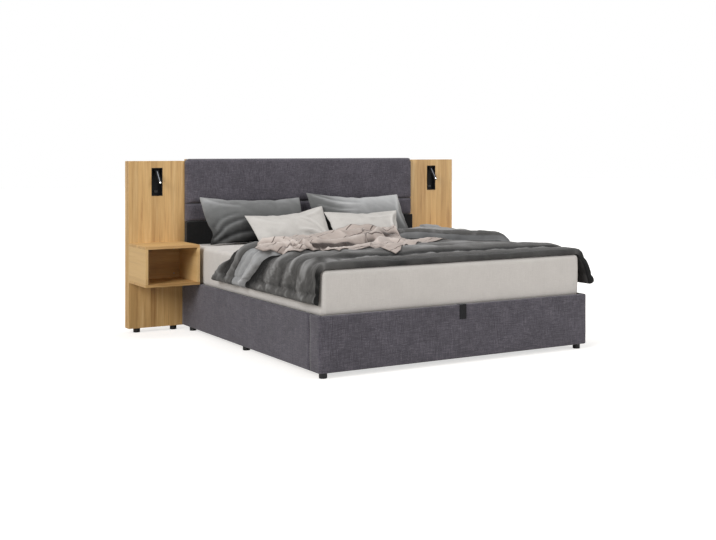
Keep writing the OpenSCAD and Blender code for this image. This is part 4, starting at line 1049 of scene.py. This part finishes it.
# Folds of the three layers, as fold_height takes them
MAIN_FOLDS = [
    ((-1.05, -0.42), (-0.97, -0.43), (-0.90, -0.56), (-0.80, -0.52), (-0.62, -0.36),
     (-0.46, -0.25), 0.019, 0.044),
    ((-1.05, -0.65), (-0.97, -0.665), (-0.90, -0.74), (-0.80, -0.72), (-0.65, -0.52),
     (-0.48, -0.42), 0.018, 0.040),
    ((-1.05, -0.86), (-0.96, -0.87), (-0.90, -0.92), (-0.78, -0.90), (-0.62, -0.78),
     (-0.30, -0.66), 0.018, 0.040),
    ((-1.06, -0.53), (-0.97, -0.55), (-0.90, -0.64), (-0.78, -0.62), (-0.66, -0.46), 0.006, 0.020),
    ((-1.05, -0.76), (-0.97, -0.775), (-0.90, -0.83), (-0.80, -0.82), 0.006, 0.020),
    ((-0.55, -0.46), (-0.30, -0.62), (0.0, -0.70), (0.3, -0.70), 0.014, 0.045),
    ((-0.20, -0.42), (0.10, -0.52), (0.45, -0.58), (0.8, -0.52), 0.013, 0.042),
    ((0.10, -0.22), (0.35, -0.34), (0.62, -0.40), (0.9, -0.36), 0.014, 0.045),
    ((0.40, -0.05), (0.58, -0.16), (0.80, -0.30), 0.010, 0.035),
    ((0.20, -0.62), (0.50, -0.70), (0.80, -0.66), (1.0, -0.66), 0.011, 0.034),
    ((0.80, -0.50), (0.95, -0.52), (1.06, -0.56), 0.014, 0.035),
    ((0.80, -0.82), (0.93, -0.84), (1.06, -0.90), 0.012, 0.030),
    ((0.80, -0.05), (0.95, -0.10), (1.06, -0.12), 0.012, 0.035),
    ((0.82, 0.22), (0.95, 0.20), (1.06, 0.22), 0.012, 0.035),
]
PALE_FOLDS = [
    ((-1.06, -0.07), (-0.98, -0.14), (-0.90, -0.26), (-0.80, -0.35), (-0.66, -0.30), 0.016, 0.026),
    ((-1.04, 0.0), (-0.96, -0.06), (-0.90, -0.15), (-0.80, -0.24), (-0.66, -0.22), 0.007, 0.018),
    ((0.45, 0.12), (0.60, 0.0), (0.80, -0.18), (0.95, -0.29), 0.010, 0.026),
]
UPPER_FOLDS = [
    ((-1.04, 0.24), (-0.96, 0.13), (-0.90, 0.04), (-0.80, 0.07), (-0.62, 0.24),
     (-0.50, 0.33), -0.019, 0.030),
    ((-1.04, 0.35), (-0.95, 0.22), (-0.89, 0.13), (-0.78, 0.18), (-0.62, 0.34), 0.012, 0.022),
    ((-1.05, 0.15), (-0.97, 0.08), (-0.91, 0.0), (-0.84, -0.08), (-0.70, -0.05), 0.012, 0.022),
    ((-1.03, 0.28), (-0.98, 0.21), (-0.93, 0.14), 0.008, 0.014),
    ((0.45, 0.42), (0.62, 0.27), (0.80, 0.10), (0.98, -0.08), 0.012, 0.040),
    ((0.62, 0.46), (0.78, 0.30), (1.0, 0.16), 0.012, 0.034),
    ((0.55, 0.20), (0.70, 0.06), (0.84, -0.08), (0.96, -0.2), 0.010, 0.026),
]
# Width of the band along the duvet's side hems
HEM_BAND = 0.056


def calmer(s):
    """1 on the left and in the middle, less on the right, where the duvet lies smoother."""
    return 1 - 0.7 * ease((s - 0.40) / 0.3)


def rim_distance(s, y, front, back):
    """Distance to the nearest edge of a layer lying between y = front and y = back."""
    return np.minimum(np.minimum(y - front, back - y), HALF - np.abs(s))


def main_relief(s, y):
    """Folds, roll, hem band and their painted shade and highlight (0.5 is plain) of the lowest
    layer.
    """
    p = np.stack([s, y], -1)
    on_top = ease((TOP_HALF + 0.03 - np.abs(s)) / 0.06)
    calm = calmer(s)
    drawn = (fold_height(s, y, MAIN_FOLDS) + ripple(p, 7, 0.42) * 0.004
             + ripple(p, 8, 0.15) * 0.002) * calm
    folds = drawn * (0.50 + 0.85 * on_top)
    creases = crumple(p, 9, 0.16)
    tucks = creases * 0.003 * calm
    # Hem band with its puckers
    hem = HALF - np.abs(s)
    gathered = bell(hem - HEM_BAND, 0.022) + 0.6 * bell(hem - 0.4 * HEM_BAND, 0.02)
    pucker = np.sin(y * 2 * np.pi / 0.083 + 2.2 * np.sin(y * 11)) \
        + 0.6 * np.sin(y * 2 * np.pi / 0.047 + 1.0)
    folds = folds * (0.15 + 0.85 * ease((hem - 0.03) / 0.07))
    band = 0.008 * bell(hem - 0.45 * HEM_BAND, 0.45 * HEM_BAND) \
        - 0.008 * bell(hem - HEM_BAND, 0.008) + 0.0012 * pucker * gathered
    # Foot end gathered into a roll
    back = y - along(s, ROLL_LINE)
    rolled = 0.004 * bell(back + 0.10, 0.05) - 0.009 * bell(back, 0.022) \
        + 0.018 * bell(back - 0.13, 0.08)
    bunch = np.sin(s * 2 * np.pi / 0.133 + 2.4 * np.sin(s * 7)) \
        + 0.5 * np.sin(s * 2 * np.pi / 0.058 + 2.0)
    rolled = rolled + 0.0032 * bunch * bell(back + 0.05, 0.036)
    # Pressed down in front of the turned-back part
    gap = along(s, PALE_EDGE) - y
    pressed = -0.014 * bell(gap - 0.035, 0.035)
    # Painted shade and highlight: folds and creases, hem, roll, painted shadow in the gap, then
    # painted shade on the two hanging sides
    ridge = np.clip(drawn / 0.015, -1, 1)
    lit = np.where(ridge > 0, np.clip(ridge, 0, 1) ** 1.6 * 0.26, ridge * 0.48)
    shade = 0.5 + lit * (0.90 + 0.10 * on_top) + (creases - 0.3) * 0.11
    shade = shade + (crumple(p * [1.0, 1.7], 12, 0.09) - 0.3) * 0.20 * (1 - on_top)
    shade = shade + 0.12 * bell(hem - 0.5 * HEM_BAND, 0.45 * HEM_BAND) \
        - 0.10 * bell(hem - HEM_BAND - 0.012, 0.014)
    shade = shade + 0.045 * pucker * gathered
    shade = shade + on_top * (
        bunch * 0.09 * bell(back + 0.045, 0.04) + 0.16 * bell(back + 0.055, 0.028)
        - 0.50 * bell(back - 0.022, 0.030) - 0.24 * bell(back + 0.20, 0.07))
    shade = shade - (0.50 + 0.5 * ease((-s - 0.58) / 0.1)) * bell(gap - 0.018, 0.058) * (gap > -0.1)
    shade = shade - 0.12 * bell(gap - 0.1, 0.05)
    shade = shade * (1 - 0.8 * bell(gap - 0.02, 0.05) * (gap > -0.1) * ease((-s - 0.58) / 0.1))
    shade = shade - 0.22 * ease((s - TOP_HALF) / 0.04) * bell(y - DUVET_FOOT, 0.30)
    shade = shade - 0.13 * ease((-s - TOP_HALF - 0.01) / 0.05) \
        * (0.5 + 0.5 * ease((-y - 0.45) / 0.2))
    return folds + tucks + band + rolled + pressed, shade


def main_height(s, y):
    """Height of the lowest layer's outer face over the mattress."""
    d = rim_distance(s, y, DUVET_FOOT, along(s, HEAD_EDGE))
    fuller = 0.012 * ease((s - TOP_HALF) / 0.04) * bell(y - DUVET_FOOT, 0.35)
    soft = (LAYER + 0.006) * pressed_thin(s, 0.72) + fuller
    return np.maximum(soft + main_relief(s, y)[0], 0.012) * edge_swell(d, 0.024) + 0.001


def pale_relief(s, y):
    """Folds, rolled edge, quilting and their painted shade and highlight, of the duvet's inner side
    turned up.
    """
    p = np.stack([s, y], -1)
    inside = y - along(s, PALE_EDGE)
    folds = fold_height(s, y, PALE_FOLDS)
    rolled = 0.013 * bell(inside - 0.032, 0.024)
    quilting = np.maximum(bell(np.mod(s + 0.5 * y + 0.02, 0.075) - 0.0375, 0.004),
                          bell(np.mod(y - 0.4 * s, 0.075) - 0.0375, 0.004))
    shade = 0.5 + np.clip(folds / 0.016, -1, 1) * 0.16 - 0.07 * quilting * (s < 0.1) \
        + 0.10 * bell(inside - 0.030, 0.018)
    # Painted shade over the right part, and painted shadow under the grey side's edge.
    shade = shade - 0.30 * ease((s - 0.1) / 0.3) \
        - 0.45 * bell(along(s, UPPER_EDGE) - y, 0.022) * ease((s + 0.3) / 0.5)
    height = folds + rolled - 0.0012 * quilting + ripple(p, 17, 0.2) * 0.002 \
        + crumple(p, 18, 0.1) * 0.002
    return height, shade


def squeezed(s, y):
    """1 for the turned-back part where it lies free, less where the pillows press it flat."""
    start = 0.10 - 0.24 * ease((-s - 0.5) / 0.2)
    under_pillows = ease((s + 0.95) / 0.10) * ease((0.36 - s) / 0.12) * ease((y - start) / 0.20)
    return 1 - 0.66 * under_pillows


def pale_height(s, y):
    """Thickness of the layer that shows the duvet's inner side."""
    d = rim_distance(s, y, along(s, PALE_EDGE), along(s, HEAD_EDGE) - 0.004)
    full = (LAYER * 0.8 * pressed_thin(s, 0.4) + pale_relief(s, y)[0]) * edge_swell(d, 0.022)
    return full * squeezed(s, y)


def upper_relief(s, y):
    """Folds, rolled edges and their painted shade and highlight, of the turned-back part's grey
    side.
    """
    p = np.stack([s, y], -1)
    inside = y - along(s, UPPER_EDGE)
    calm = calmer(s)
    folds = fold_height(s, y, UPPER_FOLDS) * calm
    rolled = 0.012 * bell(along(s, HEAD_EDGE) - y - 0.045, 0.035) \
        + 0.010 * bell(inside - 0.035, 0.026) * ease((s + 0.2) / 0.5)
    creases = crumple(p, 29, 0.12)
    right = ease((s - 0.2) / 0.3)
    shade = 0.5 + np.clip(folds / 0.018, -1, 1) * np.where(folds < 0, 0.40, 0.28) \
        + (creases - 0.3) * 0.12
    # Painted highlight on the right part, painted shadow at the left tip.
    shade = shade + 0.30 * right * ease((inside - 0.05) / 0.08) \
        - 0.45 * ease((y - 0.37) / 0.04) * ease((-s - 1.03) / 0.03)
    return folds + rolled + (ripple(p, 27, 0.24) * 0.003 + creases * 0.003) * calm, shade


def upper_height(s, y):
    """Thickness of the turned-back part's grey side."""
    d = rim_distance(s, y, along(s, UPPER_EDGE), along(s, HEAD_EDGE) - 0.002)
    full = (LAYER * 0.9 * pressed_thin(s, 0.4) + upper_relief(s, y)[0]) * edge_swell(d, 0.026)
    return full * squeezed(s, y)


def rows_between(count):
    """Fractions from one edge to the other, closer together near both edges."""
    t = np.linspace(0, 1, count)
    return t - 0.87 * np.sin(2 * np.pi * t) / (2 * np.pi)


def cloth_layer(name, front_edge, back_edge, base, height, relief, finish, rows):
    """One layer of the duvet between two edge lines, lying on the layers under it."""
    near = HALF * np.array([0, 0.002, 0.006, 0.012, 0.02])
    s = np.unique(np.concatenate([
        np.linspace(-HALF, HALF, 170), -HALF + near, HALF - near,
        np.linspace(-HALF, -TOP_HALF, 22), np.linspace(TOP_HALF, HALF, 22)]))
    front = np.full_like(s, front_edge) if np.isscalar(front_edge) else along(s, front_edge)
    back = along(s, back_edge)
    edge = np.array([0.003, 0.008, 0.015])
    span = float(np.mean(back - front))
    f = np.unique(np.round(np.concatenate([rows_between(rows), edge / span, 1 - edge / span]), 5))
    y = front[None, :] + (back - front)[None, :] * f[:, None]
    s2 = np.broadcast_to(s, y.shape)
    x, z, nx, nz = duvet_place(s2, y)
    under = base(s2, y) if base else np.zeros_like(y)
    over = under + height(s2, y)
    top = np.stack([x + nx * over, y, z + nz * over], -1)
    bottom = np.stack([x + nx * under, y, z + nz * under], -1)
    shade = relief(s2, y)[1]
    # Painted shade on the foot ends of the hanging sides.
    hanging = ease((np.abs(s2) - TOP_HALF) / 0.05)
    shade = shade - 0.40 * hanging * (y < DUVET_FOOT + 0.012)
    return cloth_shell(name, top, bottom, finish, np.stack([s2, y], -1), shade)


def pale_base(s, y):
    """Height of what the pale side lies on."""
    return main_height(s, y) + LAYER_GAP


def upper_base(s, y):
    """Height of what the turned-back grey side lies on."""
    return pale_base(s, y) + np.maximum(pale_height(s, y), 0) + LAYER_GAP


def build_duvet():
    """Main layer, then the turned-back part's pale and grey sides on it."""
    for name, front, inset, base, height, relief, finish, rows in (
            ("duvet_main_layer", DUVET_FOOT, 0, None, main_height, main_relief, DUVET, 130),
            ("duvet_turned_back_pale_side", PALE_EDGE, 0.004,
             pale_base, pale_height, pale_relief, DUVET_BACK, 70),
            ("duvet_turned_back_grey_side", UPPER_EDGE, 0.002,
             upper_base, upper_height, upper_relief, DUVET, 70)):
        back = [(s, y - inset) for s, y in HEAD_EDGE]
        layer = cloth_layer(name, front, back, base, height, relief, finish, rows)
        place(layer, "platform", "duvet_cloth", *(["duvet"] if front == DUVET_FOOT else []))


# ---------- throw ----------
THROW_HEAD = [(-0.985, -0.365), (-0.87, -0.14), (-0.78, -0.05), (-0.68, 0.04), (-0.495, 0.206),
              (-0.326, 0.36), (-0.13, 0.50), (0.03, 0.595), (0.146, 0.591), (0.247, 0.585),
              (0.349, 0.576), (0.41, 0.55), (0.36, 0.32), (0.322, 0.17), (0.280, 0.0),
              (0.34, -0.03), (0.43, -0.01), (0.53, -0.02), (0.56, -0.08)]
THROW_FOOT = [(-0.985, -0.365), (-0.95, -0.40), (-0.902, -0.395), (-0.845, -0.43), (-0.840, -0.53),
              (-0.775, -0.535), (-0.66, -0.42), (-0.55, -0.345), (-0.535, -0.46), (-0.52, -0.54),
              (-0.44, -0.50), (-0.388, -0.44), (-0.214, -0.31), (-0.16, -0.275), (-0.30, -0.66),
              (-0.279, -0.785), (-0.215, -0.74), (-0.06, -0.52), (0.18, -0.28), (0.35, -0.16),
              (0.45, -0.13), (0.56, -0.08)]
# The throw's rows run slanted: x moves by THROW_LEAN for each metre of y from LEAN_FROM
THROW_LEAN, LEAN_FROM = 0.4, 0.2
THROW_GAP, THROW_THICK = 0.0015, 0.0024
STRIPE_SLANT = math.radians(64)
# Ridges of the throw, then its hollows, sunk and given painted shade
THROW_FOLDS = [
    ((-0.92, -0.22), (-0.80, -0.28), (-0.70, -0.40), (-0.66, -0.46), 0.020, 0.022),
    ((-0.86, -0.10), (-0.74, -0.18), (-0.64, -0.30), (-0.60, -0.38), 0.028, 0.020),
    ((-0.72, -0.06), (-0.64, -0.18), (-0.60, -0.30), 0.020, 0.018),
    ((-0.84, -0.46), (-0.76, -0.42), (-0.68, -0.44), 0.022, 0.018),
    ((-0.62, -0.26), (-0.44, -0.20), (-0.26, -0.13), (-0.06, -0.02), (0.06, 0.06), 0.018, 0.026),
    ((-0.56, -0.40), (-0.40, -0.36), (-0.22, -0.27), (0.0, -0.14), (0.10, -0.06), 0.016, 0.024),
    ((-0.52, 0.10), (-0.40, -0.04), (-0.34, -0.12), 0.010, 0.022),
    ((-0.34, 0.30), (-0.22, 0.12), (-0.16, 0.0), 0.012, 0.024),
    ((-0.08, 0.46), (0.0, 0.26), (0.02, 0.10), 0.012, 0.026),
    ((0.02, 0.0), (0.12, 0.12), (0.22, 0.30), (0.30, 0.42), 0.010, 0.030),
    ((0.40, 0.46), (0.34, 0.24), (0.30, 0.04), 0.014, 0.016),
    ((-0.08, -0.20), (0.02, -0.115), (0.10, -0.055), (0.15, -0.11), (0.19, -0.19), 0.030, 0.020),
    ((0.19, -0.14), (0.30, -0.07), (0.44, -0.05), 0.010, 0.018),
    ((0.04, 0.03), (0.19, 0.20), (0.33, 0.34), (0.36, 0.25), (0.365, 0.13), 0.016, 0.015),
    ((-0.26, -0.66), (-0.14, -0.44), (0.0, -0.26), 0.012, 0.026),
    ((-0.10, -0.44), (0.10, -0.26), (0.30, -0.12), 0.010, 0.020),
]
THROW_HOLLOWS = [
    ((-0.62, -0.34), (-0.445, -0.275), (-0.263, -0.20), (-0.10, -0.13), 0.022, 0.024),
    ((-0.10, -0.13), (-0.04, -0.05), (0.04, 0.0), 0.014, 0.020),
    ((-0.74, -0.34), (-0.68, -0.38), (-0.61, -0.37), 0.028, 0.030),
    ((-0.66, -0.22), (-0.60, -0.26), (-0.55, -0.33), 0.018, 0.018),
    ((-0.80, -0.37), (-0.74, -0.46), (-0.70, -0.50), 0.014, 0.018),
    ((0.13, 0.06), (0.22, 0.15), (0.29, 0.215), (0.325, 0.15), 0.016, 0.032),
]
# Grid of places for the bedding map
CELL = 0.01
MAP_X, MAP_Y = np.arange(-1.0, 1.0, CELL), np.arange(-1.1, 1.0, CELL)


def blurred(field, cells):
    """Field smoothed over that many cells."""
    reach = int(cells * 2.5)
    kernel = np.exp(-(np.arange(-reach, reach + 1) / cells) ** 2 / 2)
    kernel /= kernel.sum()
    wide = np.pad(field, reach, mode="edge")
    wide = np.apply_along_axis(lambda r: np.convolve(r, kernel, "valid"), 0, wide)
    return np.apply_along_axis(lambda r: np.convolve(r, kernel, "valid"), 1, wide)


def widened(field, cells):
    """Highest value within that many cells."""
    best = field.copy()
    for dx in range(-cells, cells + 1):
        for dy in range(-cells, cells + 1):
            if dx * dx + dy * dy <= cells * cells:
                best = np.maximum(best, np.roll(np.roll(field, dx, 0), dy, 1))
    return best


def bedding_map():
    """Height of what the throw lies on, on a grid of places."""
    x, y = np.meshgrid(MAP_X, MAP_Y, indexing="ij")
    s = np.clip(x, -TOP_HALF, TOP_HALF)
    height = np.full(x.shape, MATTRESS_TOP)
    head = along(s, HEAD_EDGE)
    height = np.where((y > DUVET_FOOT) & (y < head), LYING_Z + main_height(s, y), height)
    pale = np.maximum(pale_height(s, y), 0) * (y > along(s, PALE_EDGE)) * (y < head)
    upper = np.maximum(upper_height(s, y), 0) * (y > along(s, UPPER_EDGE)) * (y < head)
    height = height + pale + upper
    for points in pillow_points.values():
        i = np.clip(((points[:, 0] - MAP_X[0]) / CELL).astype(int), 0, len(MAP_X) - 1)
        j = np.clip(((points[:, 1] - MAP_Y[0]) / CELL).astype(int), 0, len(MAP_Y) - 1)
        np.maximum.at(height, (i, j), points[:, 2])
    return height


def look_up(field, x, y):
    """Value of a field of the bedding map at any place."""
    fx = np.clip((x - MAP_X[0]) / CELL, 0, len(MAP_X) - 1.001)
    fy = np.clip((y - MAP_Y[0]) / CELL, 0, len(MAP_Y) - 1.001)
    i, j = fx.astype(int), fy.astype(int)
    a, b = fx - i, fy - j
    return (field[i, j] * (1 - a) * (1 - b) + field[i + 1, j] * a * (1 - b)
            + field[i, j + 1] * (1 - a) * b + field[i + 1, j + 1] * a * b)


def build_throw():
    """Thrown cloth between its head and foot edges, draped over bedding and pillows."""
    ground = bedding_map()
    draped = blurred(widened(ground, 2), 1.6)
    draped = np.maximum(draped, widened(ground, 1) + 0.001)
    cols, rows = 260, 150
    head_line, foot_line = ([(x - THROW_LEAN * (y + LEAN_FROM), y) for x, y in edge]
                            for edge in (THROW_HEAD, THROW_FOOT))
    x = np.linspace(head_line[0][0], foot_line[-1][0], cols)
    head, foot = along(x, head_line), along(x, foot_line)
    head = head + ripple(x[:, None], 57, 0.12) * 0.006
    foot = foot + ripple(x[:, None], 58, 0.10) * 0.006
    f = np.linspace(0, 1, rows)
    y = head[None, :] + (foot - head)[None, :] * f[:, None]
    x2 = x + THROW_LEAN * (y + LEAN_FROM)
    edge = np.minimum(f, 1 - f)[:, None] * np.abs(foot - head)[None, :]
    p = np.stack([x2, y], -1)
    knot = bell(np.hypot(x2 + 0.68, y + 0.34), 0.16)
    folds = fold_height(x2, y, THROW_FOLDS)
    hollows = fold_height(x2, y, THROW_HOLLOWS)
    tent = np.sin(np.pi * np.clip(f / 0.72, 0, 1))[:, None]
    loft = 0.030 * bell(x2 - 0.02, 0.34) * tent * ease((y + 0.1) / 0.2)
    creases = crumple(p, 51, 0.10)
    lift = folds - hollows + loft + creases * (0.003 + 0.012 * knot) \
        + ripple(p, 53, 0.05) * (0.0008 + 0.005 * knot)
    # Painted shade and highlight: folds, creases and the knot; painted shade in the hollows,
    # painted shadow along the lower edge, a little painted light near the head edge.
    shade = 0.5 + np.clip(folds / 0.020, -1, 1) * 0.30 + (creases - 0.35) * (0.08 + 0.40 * knot)
    shade = shade - 0.62 * np.clip(hollows / 0.018, 0, 1) \
        - 0.25 * bell(edge, 0.007) * (f > 0.5)[:, None]
    shade = shade + 0.05 * bell(f, 0.2)[:, None]
    lift = np.maximum(lift, -0.003) + 0.003
    lift = lift * (0.35 + 0.65 * ease(edge / 0.045))
    z = look_up(draped, x2, y) + THROW_GAP + lift
    top = np.stack([x2, y, z + THROW_THICK], -1)
    bottom = np.stack([x2, y, z], -1)
    c, s = math.cos(STRIPE_SLANT), math.sin(STRIPE_SLANT)
    uv = np.stack([x2 * c - y * s, x2 * s + y * c], -1)
    piece = cloth_shell("throw_cloth_spread", top, bottom, THROW, uv, shade)
    place(piece, "platform", "throw_cloth", "throw_blanket")


# ---------- hard parts ----------
def build_oak():
    """Wall panels and nightstands."""
    for side in ("left", "right"):
        dress(side + "_oak_wall_panel", side + "_wall_panel", "bed_frame", "oak", OAK_UP, 0.0012)
        for part, finish in (("top", OAK_ACROSS), ("base", OAK_ACROSS), ("outer_side", OAK_DEEP),
                             ("inner_side", OAK_DEEP), ("back", OAK_ACROSS)):
            dress(f"{side}_oak_nightstand_{part}", f"{side}_nightstand_{part}", "bed_frame", "oak",
                  finish, 0.0009)


def build_small_parts():
    """Feet, the headboard's lower panel, pull strap and lamps."""
    for node in ("bed_feet", "panel_feet"):
        dress("black_" + node, node, "bed_frame", "black_plastic",
              BLACK_PLASTIC, 0.002, smooth=True)
    # The headboard's lower panel in near-black cloth, as the dark band below the cushions.
    dress("headboard_dark_cloth", "headboard_lower_panel", "bed_frame", "dark_upholstery",
          DARK_CLOTH, 0.009, 4, smooth=True)
    dress("black_pull_strap", "pull_strap", "platform", "webbing", WEBBING, 0.0006, 1)
    for side in ("left", "right"):
        dress(side + "_lamp_case", side + "_lamp_housing", "bed_frame", "lamp_metal",
              LAMP_BLACK, 0.0007, smooth=True)
        dress(side + "_lamp_swing_arm", side + "_lamp_arm", side + "_lamp", "lamp_metal",
              ARM_BLACK, 0.0012, smooth=True)


# The lamp arm's pin below the case's top and behind the panel's front, and how the arm hangs
LAMP_PIN_DOWN, LAMP_PIN_IN, LAMP_ARM_THICK = 0.017, 0.007, 0.009
LAMP_LEAN = math.radians(40)
# Distances down the arm from its pin
EDGE_HIGHLIGHT_START, EDGE_HIGHLIGHT_END, SPOT_AT = 0.012, 0.104, 0.1095
SPOT_SIDES = 20


def build_lamp_trim():
    """Pale strip down the front of each lamp arm as a painted highlight on its edge, and the small
    lit spot at its tip.
    """
    down = np.array([0, -math.sin(LAMP_LEAN), -math.cos(LAMP_LEAN)])
    out = np.array([0, -math.cos(LAMP_LEAN), math.sin(LAMP_LEAN)])
    for side in ("left", "right"):
        low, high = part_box(side + "_lamp_arm")
        case_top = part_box(side + "_lamp_housing")[1].z
        pin = np.array([(low.x + high.x) / 2, PANEL_FRONT + LAMP_PIN_IN, case_top - LAMP_PIN_DOWN])
        face = pin + out * LAMP_ARM_THICK / 2
        verts = []
        for rise, half in ((-0.0004, 0.0026), (0.0005, 0.0022)):
            for reach, side_by in ((EDGE_HIGHLIGHT_START, -half), (EDGE_HIGHLIGHT_START, half),
                                   (EDGE_HIGHLIGHT_END, half), (EDGE_HIGHLIGHT_END, -half)):
                verts.append(face + down * reach + out * rise + np.array([side_by, 0, 0]))
        faces = [(0, 1, 2, 3), (4, 5, 6, 7), (0, 1, 5, 4), (1, 2, 6, 5), (2, 3, 7, 6), (3, 0, 4, 7)]
        # Painted highlight: a pale strip where the black arm's edge catches light.
        edge_highlight_strip = make_piece(side + "_lamp_arm_edge_highlight", verts, faces, ARM_EDGE_HIGHLIGHT, smooth=False)
        place(edge_highlight_strip, side + "_lamp", "lamp_metal")
        rings = [(0.0050, -0.0006), (0.0050, 0.0004), (0.0043, 0.0013), (0.0025, 0.0019)]
        dome = [face + down * SPOT_AT + out * -0.0006]
        for radius, rise in rings:
            for k in range(SPOT_SIDES):
                a = 2 * math.pi * k / SPOT_SIDES
                dome.append(face + down * (SPOT_AT + radius * math.sin(a)) + out * rise
                            + np.array([radius * math.cos(a), 0, 0]))
        dome.append(face + down * SPOT_AT + out * 0.0021)
        neighbours = [(k, (k + 1) % SPOT_SIDES) for k in range(SPOT_SIDES)]
        faces = [(0, 1 + b, 1 + a) for a, b in neighbours]
        for first in range(1, 1 + (len(rings) - 1) * SPOT_SIDES, SPOT_SIDES):
            faces += [(first + a, first + b, first + b + SPOT_SIDES, first + a + SPOT_SIDES)
                      for a, b in neighbours]
        last = 1 + (len(rings) - 1) * SPOT_SIDES
        faces += [(last + a, last + b, len(dome) - 1) for a, b in neighbours]
        spot = make_piece(side + "_lamp_lit_spot", dome, faces, LENS)
        place(spot, side + "_lamp", "lamp_lens")


CAD_FINISHES = {
    CHIPBOARD: ("left_side_rail", "right_side_rail", "foot_rail", "head_rail", "floor_battens",
                "headboard_frame", "left_panel_back", "right_panel_back"),
    WHITE_BOARD: ("storage_floor",),
    STEEL: ("corner_brackets", "headboard_brackets", "panel_brackets", "lift_base_plates",
            "lift_arms", "idler_links", "lift_upper_brackets", "platform_frame"),
    ZINC: ("frame_bolts", "nightstand_screws"),
    RUBBER: ("platform_rests",),
    BLACK_PLASTIC: ("slat_holders", "left_usb_socket", "right_usb_socket"),
    LAMP_BLACK: ("gas_cylinders",),
    CHROME: ("gas_rods",),
    BIRCH: ("slats",),
    LENS: ("left_lamp_lens", "right_lamp_lens"),
}


def finish_cad_nodes():
    """Gives the CAD nodes that are shown as they are their finishes."""
    for finish, names in CAD_FINISHES.items():
        for name in names:
            materials = NODES[name].data.materials
            materials.clear()
            materials.append(finish)


# ---------- camera, light and floor ----------
CAMERA_AT = (-3.7147, -7.5679 + PANEL_FRONT, 1.2342)
CAMERA_TURN = math.radians(32.184)
SENSOR, LENS_LENGTH = 36, 57.68
SHIFT = (-0.0936, -0.1681)
# Name, place, aim, size and power
LIGHTS = (("key_light", (-14.0, -6.4, 8.2), (0, -0.2, 0.5), 7.5, 2050),
          ("overhead_light", (0.2, 0.2, 5.6), (0, 0, 0.5), 4.0, 130),
          ("front_light", (6.0, -8.0, 3.6), (0, 0, 0.5), 4.0, 400))
FLOOR_REACH = 30.0


def build_studio():
    """Camera as in the photograph, pale surroundings, three lights and a floor seen as white."""
    camera_data = bpy.data.cameras.new("camera")
    camera = bpy.data.objects.new("camera", camera_data)
    scene.collection.objects.link(camera)
    camera.location = CAMERA_AT
    camera.rotation_euler = (math.pi / 2, 0, -CAMERA_TURN)
    camera_data.sensor_width = SENSOR
    camera_data.lens = LENS_LENGTH
    camera_data.shift_x, camera_data.shift_y = SHIFT
    scene.camera = camera

    world = bpy.data.worlds.new("studio")
    scene.world = world
    world.use_nodes = True
    tree = world.node_tree
    background = tree.nodes["Background"]
    seen = put(tree, "ShaderNodeLightPath").outputs
    through = maths(tree, "MAXIMUM", seen["Is Glossy Ray"], seen["Is Transmission Ray"])
    plain = maths(tree, "MAXIMUM", seen["Is Camera Ray"], through)
    tree.links.new(mixed(tree, plain, (0.196, 0.186, 0.176), (1, 1, 1)), background.inputs["Color"])

    for name, at, aim, size, power in LIGHTS:
        light_data = bpy.data.lights.new(name, "AREA")
        light_data.size = size
        light_data.energy = power
        light = bpy.data.objects.new(name, light_data)
        scene.collection.objects.link(light)
        light.location = at
        light.rotation_euler = (Vector(aim) - Vector(at)).to_track_quat("-Z", "Y").to_euler()

    mesh = bpy.data.meshes.new("floor")
    corners = [(x * FLOOR_REACH, y * FLOOR_REACH, 0)
               for x, y in ((-1, -1), (1, -1), (1, 1), (-1, 1))]
    mesh.from_pydata(corners, [], [(0, 1, 2, 3)])
    floor = bpy.data.objects.new("floor", mesh)
    scene.collection.objects.link(floor)
    material, tree, shader = new_finish("pale_floor", 0.9, Specular_IOR_Level=0.1)
    shader.inputs["Base Color"].default_value = (0.62, 0.60, 0.57, 1)
    glow = put(tree, "ShaderNodeEmission", {"Color": (1, 1, 1, 1)})
    path = put(tree, "ShaderNodeLightPath")
    away = put(tree, "ShaderNodeVectorMath", {0: object_place(tree)},
               operation="LENGTH").outputs["Value"]
    level = put(tree, "ShaderNodeMapRange",
                {"Value": away, "From Min": 1.6, "From Max": 4.2, "To Min": 0.64, "To Max": 1.0},
                interpolation_type="SMOOTHSTEP").outputs[0]
    tree.links.new(times(tree, path.outputs["Is Camera Ray"], level), glow.inputs["Strength"])
    total = put(tree, "ShaderNodeAddShader", {0: shader.outputs[0], 1: glow.outputs[0]})
    tree.links.new(total.outputs[0], tree.nodes["Material Output"].inputs["Surface"])
    mesh.materials.append(material)
    scene.view_settings.view_transform = "Standard"


build_studio()
finish_cad_nodes()
build_rail_covers()
build_cushion("headboard_top_cushion", "headboard_cushion_top", 21, corner=0.034)
build_cushion("headboard_second_cushion", "headboard_cushion_middle", 22, crown=0.005)
build_mattress()
build_pillows()
build_duvet()
build_throw()
build_oak()
build_small_parts()
build_lamp_trim()
